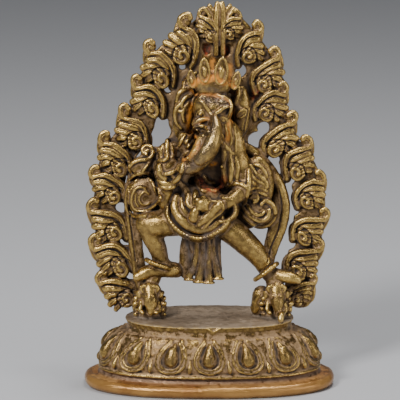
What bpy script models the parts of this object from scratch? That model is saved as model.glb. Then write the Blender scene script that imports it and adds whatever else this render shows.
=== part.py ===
"""A small cast bronze: an elephant-headed dancer on two rats, before a flame aureole, on a lotus pedestal.

Lengths are in millimetres; a mesh is scaled to metres once, when it is made.
X runs to the viewer's right, Y away from the viewer, Z up. The origin is the middle of the underside.
The casting is built as a founder builds the wax: rolled bars and pressed lumps, melted into one skin.
"""

import math

import bmesh
import bpy
import numpy as np
from mathutils import Vector
from mathutils.bvhtree import BVHTree

MM = 0.001

# Overall height, from the underside to the tip of the aureole.
TOTAL_HEIGHT = 138.4

# Pedestal, from its foot up.
BASE_WIDTH = 90.4
BASE_DEPTH = 47.0
FOOT_HEIGHT = 4.2
WAIST_HEIGHT = 1.8
WAIST_WIDTH = 81.0
WAIST_DEPTH = 39.0
WAIST_TAPER = 1.2
LOTUS_HEIGHT = 14.6
LOTUS_WIDTH = 80.5
LOTUS_DEPTH = 40.5
LOTUS_FULLNESS = 0.62
COLLAR_WIDTH = 60.0
COLLAR_DEPTH = 33.0
COLLAR_HEIGHT = 4.0
COLLAR_RECESS = 0.5
PLATE_LIP = 0.7
NOTCH_DEPTH = 1.4
NOTCH_WIDTH = 4.4
NOTCH_PLACE = 1.4
BASE_SQUARENESS = 2.35
PETAL_COUNT = 14
PETAL_BOSS_WIDTH = 5.4
PETAL_BOSS_RISE = 2.1
PETAL_RIM = 0.75
PETAL_GROOVE = 0.7

# Figure and aureole: one free form, drawn on a grid of DRAWN_HEIGHT squares above the pedestal.
DRAWN_HEIGHT = 318.2

# Aureole.
AUREOLE_BACK = 8.2
AUREOLE_THICKNESS = 3.0
POCKET_FLOOR = 1.2

# Skin.
VOXEL = 0.62
BLEND_PASSES = 8
SOFTEN_PASSES = 2
FACE_BUDGET = 9700

PLATE_TOP = FOOT_HEIGHT + WAIST_HEIGHT + LOTUS_HEIGHT + COLLAR_HEIGHT
UNIT = (TOTAL_HEIGHT - PLATE_TOP) / DRAWN_HEIGHT
AUREOLE_FRONT = AUREOLE_BACK - AUREOLE_THICKNESS
FRONT = AUREOLE_FRONT / UNIT
VIEW_DROP = math.tan(math.radians(12.0))
VIEW_SHORTENING = math.cos(math.radians(12.0))
SIDES = 8
STEPS = 4
# How far, on the grid, a hand-cut flame strays from its neighbour's shape.
FLAME_DRIFT = 1.3


def at(x, up, y):
    """A point of the drawing, seen from 12 degrees above: what stands further forward is really higher."""
    return (x * UNIT, y * UNIT, PLATE_TOP + (up / VIEW_SHORTENING - y * VIEW_DROP) * UNIT)


def smooth_line(rows, steps):
    """A Catmull-Rom curve through rows of numbers, ends included."""
    rows = np.asarray(rows, float)
    if len(rows) < 3:
        share = np.linspace(0, 1, steps + 1)[:, None]
        return rows[0] * (1 - share) + rows[-1] * share
    padded = np.vstack([2 * rows[0] - rows[1], rows, 2 * rows[-1] - rows[-2]])
    found = []
    for a, b, c, d in zip(padded, padded[1:], padded[2:], padded[3:]):
        t = np.arange(steps)[:, None] / steps
        found.append(b + 0.5 * t * (c - a + t * (2 * a - 5 * b + 4 * c - d + t * (3 * (b - c) + d - a))))
    return np.vstack([*found, rows[-1]])


def unit_rows(vectors):
    return vectors / np.maximum(np.linalg.norm(vectors, axis=1, keepdims=True), 1e-9)


class Wax:
    """Closed shapes that overlap, gathered as points and faces."""

    def __init__(self):
        self.points = []
        self.faces = []
        self.count = 0
        self.ground = None

    def add(self, points, faces):
        self.points.append(np.asarray(points, float))
        self.faces.extend([tuple(i + self.count for i in face) for face in faces])
        self.count += len(points)

    def add_rings(self, rings):
        """Skins a list of rings with the same number of points, and closes both ends."""
        sides = len(rings[0])
        faces = []
        for k in range(len(rings) - 1):
            for i in range(sides):
                j = (i + 1) % sides
                faces.append((k * sides + i, k * sides + j, (k + 1) * sides + j, (k + 1) * sides + i))
        faces.append(tuple(range(sides))[::-1])
        faces.append(tuple((len(rings) - 1) * sides + i for i in range(sides)))
        self.add(np.vstack(rings), faces)

    def bar(self, rows, flat=1.0, sides=SIDES, steps=STEPS, facing=(0, 1, 0)):
        """A rolled bar with round ends along rows of (x, y, z, radius); flat thins it front to back."""
        line = smooth_line(rows, steps)
        centre, radius = line[:, :3], np.maximum(line[:, 3], 0.05)
        tangent = unit_rows(np.gradient(centre, axis=0))
        across = unit_rows(np.cross(tangent, facing) + np.array([1e-6, 0, 1e-6]))
        out = np.cross(across, tangent)
        turn = np.linspace(0, 2 * math.pi, sides, endpoint=False)
        stations = [(0, -math.sin(a), math.cos(a)) for a in (1.25, 0.7)]
        stations += [(i, 0.0, 1.0) for i in range(len(line))]
        stations += [(len(line) - 1, math.sin(a), math.cos(a)) for a in (0.7, 1.25)]
        rings = []
        for i, push, share in stations:
            middle = centre[i] + tangent[i] * push * radius[i]
            ring = np.outer(np.cos(turn), across[i]) + np.outer(np.sin(turn) * flat, out[i])
            rings.append(middle + ring * radius[i] * share)
        self.add_rings(rings)

    def lump(self, centre, radii, lean=0.0, sides=12):
        """An ellipsoid with half sizes radii along X, Y and Z, leaned in the front view."""
        latitude = np.linspace(-1.4, 1.4, 9)
        longitude = np.linspace(0, 2 * math.pi, sides, endpoint=False)
        c, s = math.cos(lean), math.sin(lean)
        leaning = np.array([[c, 0, s], [0, 1, 0], [-s, 0, c]])
        rings = []
        for a in latitude:
            level, rise = math.cos(a), np.full(sides, math.sin(a))
            ring = np.stack([level * np.cos(longitude), level * np.sin(longitude), rise], 1)
            rings.append(np.asarray(centre) + (ring * radii) @ leaning.T)
        self.add_rings(rings)

    def strand(self, rows, flat=1.0, **options):
        """A bar given on the drawing, in rows of (x, up, y, radius)."""
        self.bar([(*at(x, up, y), r * UNIT) for x, up, y, r in rows], flat, **options)

    def boss(self, place, radii, lean=0.0):
        """A lump given on the drawing; radii are along X, Y and Z."""
        self.lump(at(*place), np.array(radii) * UNIT, lean)


    def depths(self, places):
        """The y of the ground under places on the drawing, and the same evened out into one sweep."""
        found = []
        for x, up in places:
            hit = self.ground.ray_cast(Vector(at(x, up, -200)), Vector((0, 1, -VIEW_DROP)).normalized())[0]
            found.append(None if hit is None else hit.y / UNIT)
        known = [d for d in found if d is not None]
        spare = max(known) if known else 0.0
        ground = np.array([spare if d is None else d for d in found])
        share = np.linspace(-1, 1, len(ground))
        sweep = np.polyval(np.polyfit(share, ground, 3 if len(share) > 8 else 1), share)
        return ground, np.minimum(ground, sweep)

    def laid(self, rows, lift=0.3, flat=1.0, steps=3):
        """A strand laid on the ground, in rows of (x, up, radius); lift is how many radii it stands out."""
        line = smooth_line(rows, steps)
        ground, depths = self.depths(line[:, :2])
        depths = depths - lift * line[:, 2]
        self.strand([(x, up, d, r) for (x, up, r), d in zip(line, depths)], flat, steps=1)
        # A fin behind it, down to the ground, so that no gap is left under it.
        thick = line[:, 2].mean()
        for k in range(1, 1 + min(7, int((ground - depths).max() / thick))):
            behind = np.minimum(depths + k * thick, ground)
            self.strand([(x, up, d, r) for (x, up, r), d in zip(line, behind)], flat, steps=1)


def skin(name, wax, voxel, passes):
    """The wax melted into one closed skin by a voxel remesh and smoothed. Returns the object."""
    mesh = bpy.data.meshes.new(name)
    mesh.from_pydata(np.vstack(wax.points) * MM, [], wax.faces)
    work = bmesh.new()
    work.from_mesh(mesh)
    bmesh.ops.recalc_face_normals(work, faces=work.faces)
    work.to_mesh(mesh)
    work.free()
    made = bpy.data.objects.new(name, mesh)
    bpy.context.collection.objects.link(made)
    melt = made.modifiers.new("Melt", "REMESH")
    melt.mode = "VOXEL"
    melt.voxel_size = voxel * MM
    soften = made.modifiers.new("Soften", "SMOOTH")
    soften.factor = 0.5
    soften.iterations = passes
    return made


def baked(made):
    """The points, in millimetres, and the faces of an object as its modifiers leave it."""
    graph = bpy.context.evaluated_depsgraph_get()
    seen = made.evaluated_get(graph)
    mesh = seen.to_mesh()
    points = np.empty(len(mesh.vertices) * 3)
    mesh.vertices.foreach_get("co", points)
    faces = [tuple(face.vertices) for face in mesh.polygons]
    seen.to_mesh_clear()
    return points.reshape(-1, 3) / MM, faces


def fill_pockets(points, faces):
    """The faces left once closed pockets inside are filled and crumbs under two voxels brushed off."""
    parent = list(range(len(points)))

    def root(i):
        while parent[i] != i:
            parent[i] = parent[parent[i]]
            i = parent[i]
        return i

    for face in faces:
        for i in face[1:]:
            parent[root(i)] = root(face[0])
    shells = {}
    for face in faces:
        shells.setdefault(root(face[0]), []).append(face)
    kept = max(shells.values(), key=len)
    tree = BVHTree.FromPolygons([tuple(p) for p in points], kept)
    result = list(kept)
    for shell in shells.values():
        corners = points[sorted({i for face in shell for i in face})]
        crumb = np.ptp(corners, axis=0).max() < 2 * VOXEL
        if shell is not kept and not crumb and not buried(tree, corners[0]):
            result.extend(shell)
    return result


def buried(tree, point):
    """Whether a point lies inside the closed skin held by tree, so that a ray from it crosses it oddly often."""
    start = Vector(point)
    heading = Vector((0.31, 0.17, 0.93)).normalized()
    crossings = 0
    hit = tree.ray_cast(start, heading)[0]
    while hit is not None:
        crossings += 1
        hit = tree.ray_cast(hit + heading * 1e-4, heading)[0]
    return crossings % 2 == 1


def oval(half_width, half_depth, height, count):
    """A ring of the pedestal's plan: an oval squared off a little at its corners."""
    turn = np.linspace(0, 2 * math.pi, count, endpoint=False)
    power = 2.0 / BASE_SQUARENESS
    x = half_width * np.sign(np.cos(turn)) * np.abs(np.cos(turn)) ** power
    y = half_depth * np.sign(np.sin(turn)) * np.abs(np.sin(turn)) ** power
    return np.stack([x, y, np.full(count, height)], 1)


def pedestal_profile():
    """Rows of (half width, half depth, height) up the pedestal's outside, from just below its foot."""
    bulge = FOOT_HEIGHT / 2
    foot_turn = 72
    flat_rim = bulge * (1 - math.cos(math.radians(foot_turn)))
    rows = [(BASE_WIDTH / 2 - flat_rim, BASE_DEPTH / 2 - flat_rim, -2 * VOXEL)]
    for angle in np.linspace(-foot_turn, 80, 7):
        a = math.radians(angle)
        inset = bulge * (1 - math.cos(a))
        rows.append((BASE_WIDTH / 2 - inset, BASE_DEPTH / 2 - inset, bulge + bulge * math.sin(a)))
    rows.append((WAIST_WIDTH / 2, WAIST_DEPTH / 2, FOOT_HEIGHT))
    rows.append((WAIST_WIDTH / 2 - WAIST_TAPER, WAIST_DEPTH / 2 - WAIST_TAPER, FOOT_HEIGHT + WAIST_HEIGHT))
    for share in np.linspace(0.06, 1, 16):
        groove = PETAL_GROOVE * math.exp(-(((share - 0.15) / 0.06) ** 2))
        rows.append(lotus_row(share, -groove))
    # The collar is waisted, and the plate over it has a rounded lip.
    rim = PLATE_LIP / 2
    for out, drop in ((-COLLAR_RECESS, COLLAR_HEIGHT * 0.6), (0, PLATE_LIP), (rim, rim), (-rim, 0)):
        rows.append((COLLAR_WIDTH / 2 + out, COLLAR_DEPTH / 2 + out, PLATE_TOP - drop))
    return rows


def lotus_row(share, lift):
    """Half width, half depth and height of the lotus band at a share of its height, lift off its surface."""
    swell = math.cos(min(max(share, 0.0), 1.0) * math.pi / 2) ** LOTUS_FULLNESS
    half_width = COLLAR_WIDTH / 2 + (LOTUS_WIDTH - COLLAR_WIDTH) / 2 * swell + lift
    half_depth = COLLAR_DEPTH / 2 + (LOTUS_DEPTH - COLLAR_DEPTH) / 2 * swell + lift
    return half_width, half_depth, FOOT_HEIGHT + WAIST_HEIGHT + LOTUS_HEIGHT * share


def lotus_point(turn, share, lift):
    """A point over the lotus band: turn round the plan, share of its height, lift off its surface."""
    half_width, half_depth, height = lotus_row(share, lift)
    power = 2.0 / BASE_SQUARENESS
    c, s = math.cos(turn), math.sin(turn)
    x = half_width * math.copysign(abs(c) ** power, c)
    y = half_depth * math.copysign(abs(s) ** power, s)
    return x, y, height


def pedestal(wax):
    rings = [oval(*row, 192) for row in pedestal_profile()]
    # The plate's lip is bent down in a small notch at the front.
    for ring in rings[-4:]:
        front = (ring[:, 1] < 0) & (np.abs(ring[:, 0] - NOTCH_PLACE) < NOTCH_WIDTH / 2)
        ring[front, 2] -= NOTCH_DEPTH * (1 - np.abs(ring[front, 0] - NOTCH_PLACE) / (NOTCH_WIDTH / 2))
    wax.add_rings(rings)
    # The petals stand at even distances along the band, one of them in the middle of the front.
    turns = np.linspace(-math.pi / 2, 1.5 * math.pi, 721)
    band = np.array([lotus_point(t, 0.4, 0.0) for t in turns])
    run = np.concatenate([[0], np.cumsum(np.linalg.norm(np.diff(band, axis=0), axis=1))])
    pitch = run[-1] / PETAL_COUNT
    for k in range(PETAL_COUNT):
        petal(wax, turns, run, k * pitch, pitch)


def petal(wax, turns, run, middle, pitch):
    """A teardrop boss inside a raised rim, fanning out towards the tip at its foot."""

    def place(across, share, lift):
        return lotus_point(np.interp((middle + across) % run[-1], run, turns), share, lift)

    boss = PETAL_BOSS_WIDTH / 2
    shape = ((0.86, 0.30, 0.1), (0.70, 0.66, 0.75), (0.52, 1.0, 0.85), (0.42, 0.96, 0.9))
    wax.bar([(*place(0, share, PETAL_BOSS_RISE - boss * sunk), boss * size) for share, size, sunk in shape])
    top, foot = 0.98, 0.18
    rim = []
    for angle in np.linspace(-150, 150, 13):
        a = math.radians(angle)
        across = math.sin(a) * pitch * 0.43 * (0.80 + 0.20 * math.cos(a))
        share = (top + foot) / 2 - (top - foot) / 2 * math.cos(a)
        rim.append((*place(across, share, 0.3), PETAL_RIM))
    wax.bar(rim, steps=2)
    # The small leaf between two petals.
    wax.bar([
        (*place(pitch / 2, 0.46, -0.2), PETAL_RIM * 0.7), (*place(pitch / 2, 0.24, 0.1), PETAL_RIM * 1.2),
    ])


# Each flame: the x and height of the curl at its root, then those of the knob at its hooked tip.
FLAMES_LEFT = (
    (-83, 17, -108, 41),
    (-89, 50, -114, 78),
    (-95, 84, -116, 113),
    (-95, 122, -115, 148),
    (-89, 150, -105, 181),
    (-73, 175, -84, 208),
    (-56, 208, -72, 238),
    (-46, 238, -58, 272),
    (-26, 260, -21, 297),
    (1, 280, -6, 303),
)
FLAMES_RIGHT = (
    (88, 18, 103, 38),
    (88, 46, 108, 74),
    (94, 80, 114, 105),
    (97, 115, 110, 143),
    (86, 146, 95, 178),
    (66, 169, 81, 200),
    (56, 203, 73, 231),
    (54, 232, 64, 264),
    (37, 259, 45, 289),
    (20, 281, 26, 302),
)
# The standard flame runs from its curl at 0, 0 to its knob here.
KNOB = (25, 28)

# Openings cast through the plate: x, height and half sizes.
OPENINGS = (
    (-80.5, 42, 3.8, 5.4),
    (-85.5, 78, 4.4, 6.6),
    (-89.5, 109.5, 4.6, 4.6),
    (-48, 194, 6.4, 7.6),
    (-44, 184, 5.4, 7.0),
    (-41, 229.5, 4.6, 5.4),
    (-26.5, 250.5, 3.8, 3.8),
    (31, 246, 5.0, 6.0),
    (54, 189, 5.6, 6.4),
    (46, 177, 7.4, 7.4),
    (65, 157, 5.8, 4.4),
    (81, 137, 4.8, 4.4),
    (86.5, 108, 5.0, 4.8),
    (81, 74, 6.0, 5.8),
    (75.5, 44.5, 7.0, 4.4),
    (55, 82, 5.6, 8.0),
)
# Pockets that stop short of the back.
POCKETS = (
    (-3, 267, 4.6, 5.4),
    (16.5, 266, 4.6, 6.0),
    (44, 223.5, 4.6, 5.4),
    (-85.5, 136, 5.0, 7.4),
    (-76, 166, 4.4, 5.4),
    (-12, 291, 4.4, 3.4),
)


def flame_frame(flame_row, side):
    """Turns the standard flame's own coordinates into the drawing's, and gives its size."""
    x, up, knob_x, knob_up = flame_row
    reach, rise = side * (knob_x - x), knob_up - up
    size = math.hypot(reach, rise) / math.hypot(*KNOB)
    swing = math.atan2(rise, reach) - math.atan2(KNOB[1], KNOB[0])
    c, s = math.cos(swing) * size, math.sin(swing) * size

    def place(a, h):
        across, along = x + side * (a * c - h * s), up + a * s + h * c
        stray = FLAME_DRIFT * math.sin(0.19 * along + 0.07 * across)
        return across + stray, along + FLAME_DRIFT * math.sin(0.21 * across - 0.05 * along)

    return place, size


def flame(wax, flame_row, side):
    """One tuft of flame: a ribbon that hooks at the tip, a lobed leaf under it and a curl at the root."""
    place, size = flame_frame(flame_row, side)

    def run(rows, flat=1.0):
        wax.strand([(*place(a, h), FRONT - out, r * size) for a, h, out, r in rows], flat)

    # The leaf: a web at the back, and lobes that fan out from the curl.
    run([
        (-13, -3, -3, 6), (-7, 8, -3, 9), (3, 12, -3, 10), (12, 12, -3, 10), (20, 12, -3, 8),
        (25, 20, -4, 7),
    ], 0.4)
    for rows in (
        [(-4, 9, 1, 3.4), (8, 13.6, 3, 4.4), (20, 12.6, 2, 4.4)],
        [(2, 7, 1, 3.4), (12, 7, 3, 4.6), (22, 5, 1, 4)],
        [(6, 3, 1, 3.4), (13, 0.6, 2.4, 4.2), (19, -3, 0, 3.6)],
        [(4, -3, 0, 4), (12, -7, -1, 3.6)],
    ):
        run(rows)
    # The ribbon and the knob it hooks round.
    run([
        (-13, -3, 1, 3), (-11, 7, 2, 3.2), (-4.6, 15, 3, 3.4), (4, 19.6, 4, 3.6), (13, 20.8, 4, 3.6),
        (20.4, 19, 3, 3.4),
    ])
    run([
        (20.4, 19, 3, 3.4), (25, 18.6, 2, 3.3), (29, 21.6, 2, 3.3), (30, 27, 2, 3.3), (27, 31, 2, 3.3),
        (23, 30, 2, 3),
    ])
    run([(23.6, 25.4, -0.6, 5.0), (23.4, 26, -0.6, 4.8)], 0.9)
    # The curl: a ball, with a ridge that winds in over it.
    run([(-0.6, -0.6, 0, 7.6), (0.6, -0.6, 0, 7.6)], 0.5)
    coil = []
    for k in range(8):
        a = math.radians(45 - 62 * k)
        reach = 8.6 - 0.9 * k
        coil.append((reach * math.cos(a), -0.6 + reach * math.sin(a), 2.4 + 0.5 * k, 2.5))
    run(coil)


def in_ellipse(x, up, row, grow=0.0):
    return ((x - row[0]) / (row[2] + grow)) ** 2 + ((up - row[1]) / (row[3] + grow)) ** 2 < 1


def plate_sheet(wax):
    """The plate that carries the flames: a sheet with ragged openings, thinner where there are pockets."""
    step = 1.5
    x, up = np.meshgrid(np.arange(-120, 120, step), np.arange(-2, 312, step), indexing="ij")
    inside = in_ellipse(x, up, (3, 204, 50, 84)) | in_ellipse(x, up, (0, 124, 78, 42))
    for flames in (FLAMES_LEFT, FLAMES_RIGHT):
        roots = [(0.75 * a[0] + 0.25 * a[2], 0.75 * a[1] + 0.25 * a[3]) for a in flames]
        for px, pu in smooth_line(roots, 8):
            inside |= (x - px) ** 2 + (up - pu) ** 2 < 15.5**2
    ragged = 0.6 * np.sin(x * 1.3 + up * 0.9) + 0.5 * np.sin(up * 1.7 - x * 0.6)
    shell = inside.copy()
    for row in OPENINGS:
        shell &= ~in_ellipse(x + ragged, up - ragged, row, 0.6)
    deep = shell.copy()
    for row in POCKETS:
        deep &= ~in_ellipse(x + ragged, up, row)
    back = AUREOLE_BACK / UNIT
    sheet(wax, x, up, shell, back - 2 * POCKET_FLOOR / UNIT, back, step)
    sheet(wax, x, up, deep, FRONT + 1.0, back - 1.0, step)


def sheet(wax, x, up, inside, near, far, step):
    """A slab over the cells of a grid that are inside, from depth near to depth far."""
    cells = np.argwhere(inside)
    number = np.full((inside.shape[0] + 1, inside.shape[1] + 1), -1)
    for di, dj in ((0, 0), (1, 0), (0, 1), (1, 1)):
        number[cells[:, 0] + di, cells[:, 1] + dj] = 0
    corners = np.argwhere(number == 0)
    number[corners[:, 0], corners[:, 1]] = np.arange(len(corners))
    points = []
    for y in (near, far):
        for i, j in corners:
            points.append(at(x[0, 0] + (i - 0.5) * step, up[0, 0] + (j - 0.5) * step, y))
    count = len(corners)
    i, j = cells[:, 0], cells[:, 1]
    a, b, c, d = number[i, j], number[i + 1, j], number[i + 1, j + 1], number[i, j + 1]
    faces = [np.stack([a, b, c, d], 1), np.stack([d, c, b, a], 1) + count]
    padded = np.pad(inside, 1)
    for di, dj, p, q in ((-1, 0, d, a), (1, 0, b, c), (0, -1, a, b), (0, 1, c, d)):
        rim = ~padded[i + 1 + di, j + 1 + dj]
        faces.append(np.stack([p[rim], p[rim] + count, q[rim] + count, q[rim]], 1))
    wax.add(points, np.vstack(faces).tolist())


def aureole(wax):
    for side, flames in ((-1, FLAMES_LEFT), (1, FLAMES_RIGHT)):
        for row in flames:
            flame(wax, row, side)
    # The bud at the tip: two rolls side by side, and a leaf on each side of them.
    for x in (7.4, 12.8):
        wax.strand([
            (x, 262, FRONT - 1, 2.6), (x, 280, FRONT - 3, 3), (x, 300, FRONT - 3, 3),
            (x * 0.8 + 2, 311, FRONT - 2, 2.6),
        ])
    wax.strand([(-4, 306, FRONT, 2.8), (1, 300, FRONT - 1, 3), (4, 292, FRONT - 1, 2.6)])
    wax.strand([(24, 303, FRONT, 2.8), (19, 298, FRONT - 1, 3), (16, 290, FRONT - 1, 2.6)])


def rails(wax):
    """The rails that frame the figure, and the stems beside both shins and beside the head."""
    wax.strand(
        [
            (26, 173, FRONT - 4, 5),
            (40, 168, FRONT - 4, 5.2),
            (52, 158, FRONT - 3, 5.4),
            (63, 145, FRONT - 3, 5.6),
            (72, 128, FRONT - 3, 5.6),
            (76, 110, FRONT - 3, 5.6),
            (73, 90, FRONT - 3, 5.4),
            (66, 72, FRONT - 4, 5.2),
            (61, 54, FRONT - 5, 5),
            (62, 30, FRONT - 7, 5),
            (66, 6, FRONT - 8, 6),
        ]
    )
    wax.strand(
        [
            (-34, 172, FRONT - 2, 4.0),
            (-55, 165, FRONT - 2, 4.0),
            (-72, 152, FRONT - 2, 4.0),
            (-80, 134, FRONT - 2, 4.2),
            (-82, 110, FRONT - 2, 4.2),
            (-79, 84, FRONT - 2, 4.4),
            (-76, 62, FRONT - 3, 4.4),
            (-73, 40, FRONT - 5, 4.4),
            (-66, 20, FRONT - 7, 5),
            (-64, 2, FRONT - 8, 6),
        ]
    )
    wax.strand([
        (66, 122, FRONT - 2, 3.5), (66, 100, FRONT - 3, 4.4), (62, 84, FRONT - 3, 4.8),
        (54, 52, FRONT - 5, 4),
    ])
    wax.strand([
        (-74, 100, FRONT - 2, 3.4), (-71, 82, FRONT - 2, 3.6), (-69, 64, FRONT - 3, 3.4),
        (-66, 46, FRONT - 4, 3.2),
    ])
    wax.strand([(30, 173, FRONT - 1, 3.2), (33, 190, FRONT - 1, 3), (42, 218, FRONT - 1, 2.6)])
    wax.strand([
        (37, 183, FRONT, 2.4), (43, 200, FRONT, 2.6), (50, 216, FRONT, 2.6), (60, 221, FRONT, 2.4),
        (74, 222, FRONT, 2.2),
    ])
    wax.strand([(50, 160, FRONT, 2.6), (54, 172, FRONT, 3), (62, 181, FRONT, 3), (73, 181, FRONT, 2.6)])
    wax.strand([(-44, 172, FRONT, 2.4), (-46, 160, FRONT, 2.8), (-36, 152, FRONT, 2.8)])


def body_masses(wax):
    """The large forms, melted together more softly than the ornament on them."""
    wax.boss((-10, 107, -7), (30, 19, 27))
    # The breast lies deep between the shoulders, under the trunk.
    wax.boss((2, 143, 9), (24, 8, 26))
    wax.strand([(-30, 152, -2, 9), (-20, 150, -1, 9.6), (-13, 146, 4, 7)])
    wax.strand([(30, 156, -4, 10), (21, 152, -2, 9.6), (15, 147, 4, 7)])
    wax.strand([(2, 160, 5, 12), (3, 180, 0, 13)])
    # Head, cheeks and the double dome of the forehead.
    wax.boss((3.4, 206, -8), (20, 14, 18))
    wax.boss((-5, 211, -11), (11, 10, 11))
    wax.boss((12, 211, -11), (11, 10, 11))
    wax.boss((-8, 193, -12), (10, 8, 9))
    wax.boss((13, 190, -12), (9, 8, 11))
    wax.strand([(16, 186, -10, 6), (16, 172, -9, 7), (14, 160, -6, 7)])
    # Trunk, swung to the bowl.
    wax.strand(
        [
            (3, 200, -20, 4.4),
            (4.4, 190, -24, 7.6),
            (2.8, 178.4, -28, 10.4),
            (-1.4, 168, -30, 10.8),
            (-7.4, 158.6, -31, 9.8),
            (-14.2, 151.8, -30, 8.6),
            (-21, 148.2, -29, 7.2),
            (-26.4, 148, -27, 5.4),
        ]
    )
    # The arm that rests on the belly.
    wax.strand([(26, 158, -3, 9.5), (33, 147, -6, 9.2), (37, 135, -9, 8.8)])
    wax.strand([(37, 132, -11, 8.8), (28, 122, -16, 8), (16, 114, -20, 7), (8, 112, -22, 6)])
    # The arm that lifts the bowl.
    wax.strand([(-24, 150, -3, 9), (-33, 130, -6, 8), (-44, 117, -9, 7.6)])
    wax.strand([(-44, 114, -10, 7.6), (-44, 122, -14, 7.6), (-42, 132, -17, 7.6)])
    wax.boss((-41, 146, -17), (12, 7, 15))
    # Bent leg and its foot.
    wax.strand([(-18, 95, -6, 14), (-40, 94, -8, 14), (-54, 93, -8, 13.5), (-62, 93, -7, 12.2)])
    wax.strand([(-61, 92, -7, 12), (-56, 78, -5, 10.8), (-51, 66, -3, 9.2), (-49, 55, -1, 8.4)])
    wax.strand([
        (-33, 46, 2, 8), (-38, 47, -1, 8.6), (-50, 47, -3, 8.2), (-62, 45, -6, 7.2), (-72, 40, -9, 5.6),
    ])
    # Straight leg and its foot.
    wax.strand([
        (12, 93, -6, 14), (26, 83, -7, 13.4), (38, 72, -6, 12.4), (47, 63, -4, 11.2), (54, 53, -2, 9.4),
        (58, 46, -1, 8.6),
    ])
    wax.strand([(60, 42, 0, 8), (70, 41, -4, 7.4), (81, 39, -8, 6.4), (88, 37, -9, 5)])
    # Grounds for the scarf and its coils.
    wax.boss((-65, 119, 3), (18, 6, 21))
    wax.boss((-68, 151, 2), (12, 5, 10))
    wax.boss((48, 132, 2), (17, 8, 30))
    wax.boss((49, 106, 0), (17, 7, 15))
    # Grounds for the ears, the shoulder cloth and the ribbons at the temples.
    wax.boss((-22, 169, -7), (9, 5, 17), lean=-0.35)
    wax.boss((22, 172, -5), (14, 9, 26), lean=-0.2)
    wax.boss((25, 148, -6), (14, 10, 20))
    wax.boss((-26, 206, 6), (11, 7, 30), lean=0.15)
    wax.boss((32, 206, 8), (9, 7, 26))
    wax.boss((-62, 164, 4), (7, 5, 8))
    wax.boss((-42, 162, -9), (10, 5, 14))
    wax.boss((-54, 158, 6), (8, 4, 14))


def rats(wax):
    """The two rats under the soles, snouts to the front and down, and the rough wax that steadies them."""
    for x, up, tail in ((-60, 24, 0), (67, 24, 1)):
        wax.boss((x, up, -3), (12, 14, 11))
        wax.strand([(x, up + 4, -8, 8.6), (x + 1, up - 8, -14, 7.4), (x + 2, up - 19, -17 - tail, 4.4)])
        wax.strand([(x - 1, up + 8, -2, 9), (x + 4 - 8 * tail, up + 16, -2, 8)])
        for side in (-1, 1):
            wax.boss((x + side * 9.5, up - 2, -9), (4.2, 3.6, 5.2), lean=side * 0.3)
        wax.boss((x, 3, 3), (15, 15, 8))
        wax.boss((x - 9, 10, 6), (9, 9, 14))
        wax.boss((x + 8, 8, 7), (9, 9, 11))
    # The tail of the rat on the right hangs over the plate's edge, and its rock reaches up to the heel.
    wax.strand([(71, 4, -18, 4.2), (71, 1, -26, 3.4), (71, -3, -29, 2.6)])
    wax.strand([(52, 22, 2, 9), (49, 8, 2, 8)])


SASH_FOLDS = (
    [(-12, 82, -9, 2.6), (-13, 64, -9, 3.0), (-16, 50, -8, 3.8), (-20.5, 38, -7, 4.4)],
    [(-6.4, 82, -10, 2.4), (-6.6, 64, -10, 2.8), (-8, 50, -9, 3.6), (-10.6, 35.6, -8, 4.8)],
    [(-1, 82, -10, 2.4), (-0.6, 64, -10, 2.6), (-1, 50, -9, 3.4), (-0.6, 35, -8, 4.8)],
    [(4, 82, -9, 2.2), (4.4, 66, -9, 2.6), (6.6, 52, -8, 3.4), (9, 39, -7, 4.6)],
)


def sash(wax):
    """The cloth that hangs between the legs, in tubular folds that flare, over another cloth behind."""
    wax.strand([(-20, 84, 2, 7), (-23, 62, 2, 7.6), (-23, 44, 2, 7)], 0.6)
    wax.strand([(-14, 84, -4, 9), (-8, 60, -4, 11), (-6, 46, -4, 11)], 0.45)
    wax.strand([(6, 84, -4, 6), (4, 60, -4, 8), (6, 46, -4, 7)], 0.45)
    for rows in SASH_FOLDS:
        wax.strand(rows)


# The beaded hem round the belly, and the girdle's loop over the hip: x, height and depth.
HEM = (
    (-40, 116, -12),
    (-41.6, 109, -15),
    (-41.6, 102, -18),
    (-39, 96, -20),
    (-34, 90, -22),
    (-27, 84.4, -24),
    (-19, 80.6, -25),
    (-10, 79, -25.5),
    (-1, 81, -25.5),
    (7, 85, -25),
    (14, 90, -24),
    (17.4, 95, -23),
)
GIRDLE_LOOP = (
    (13, 119, -23), (20, 117, -22), (25, 112, -20.5), (25.6, 105, -20.5), (22, 99.6, -21.5), (16, 96, -23),
    (10.6, 95.4, -24.5),
)


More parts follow.
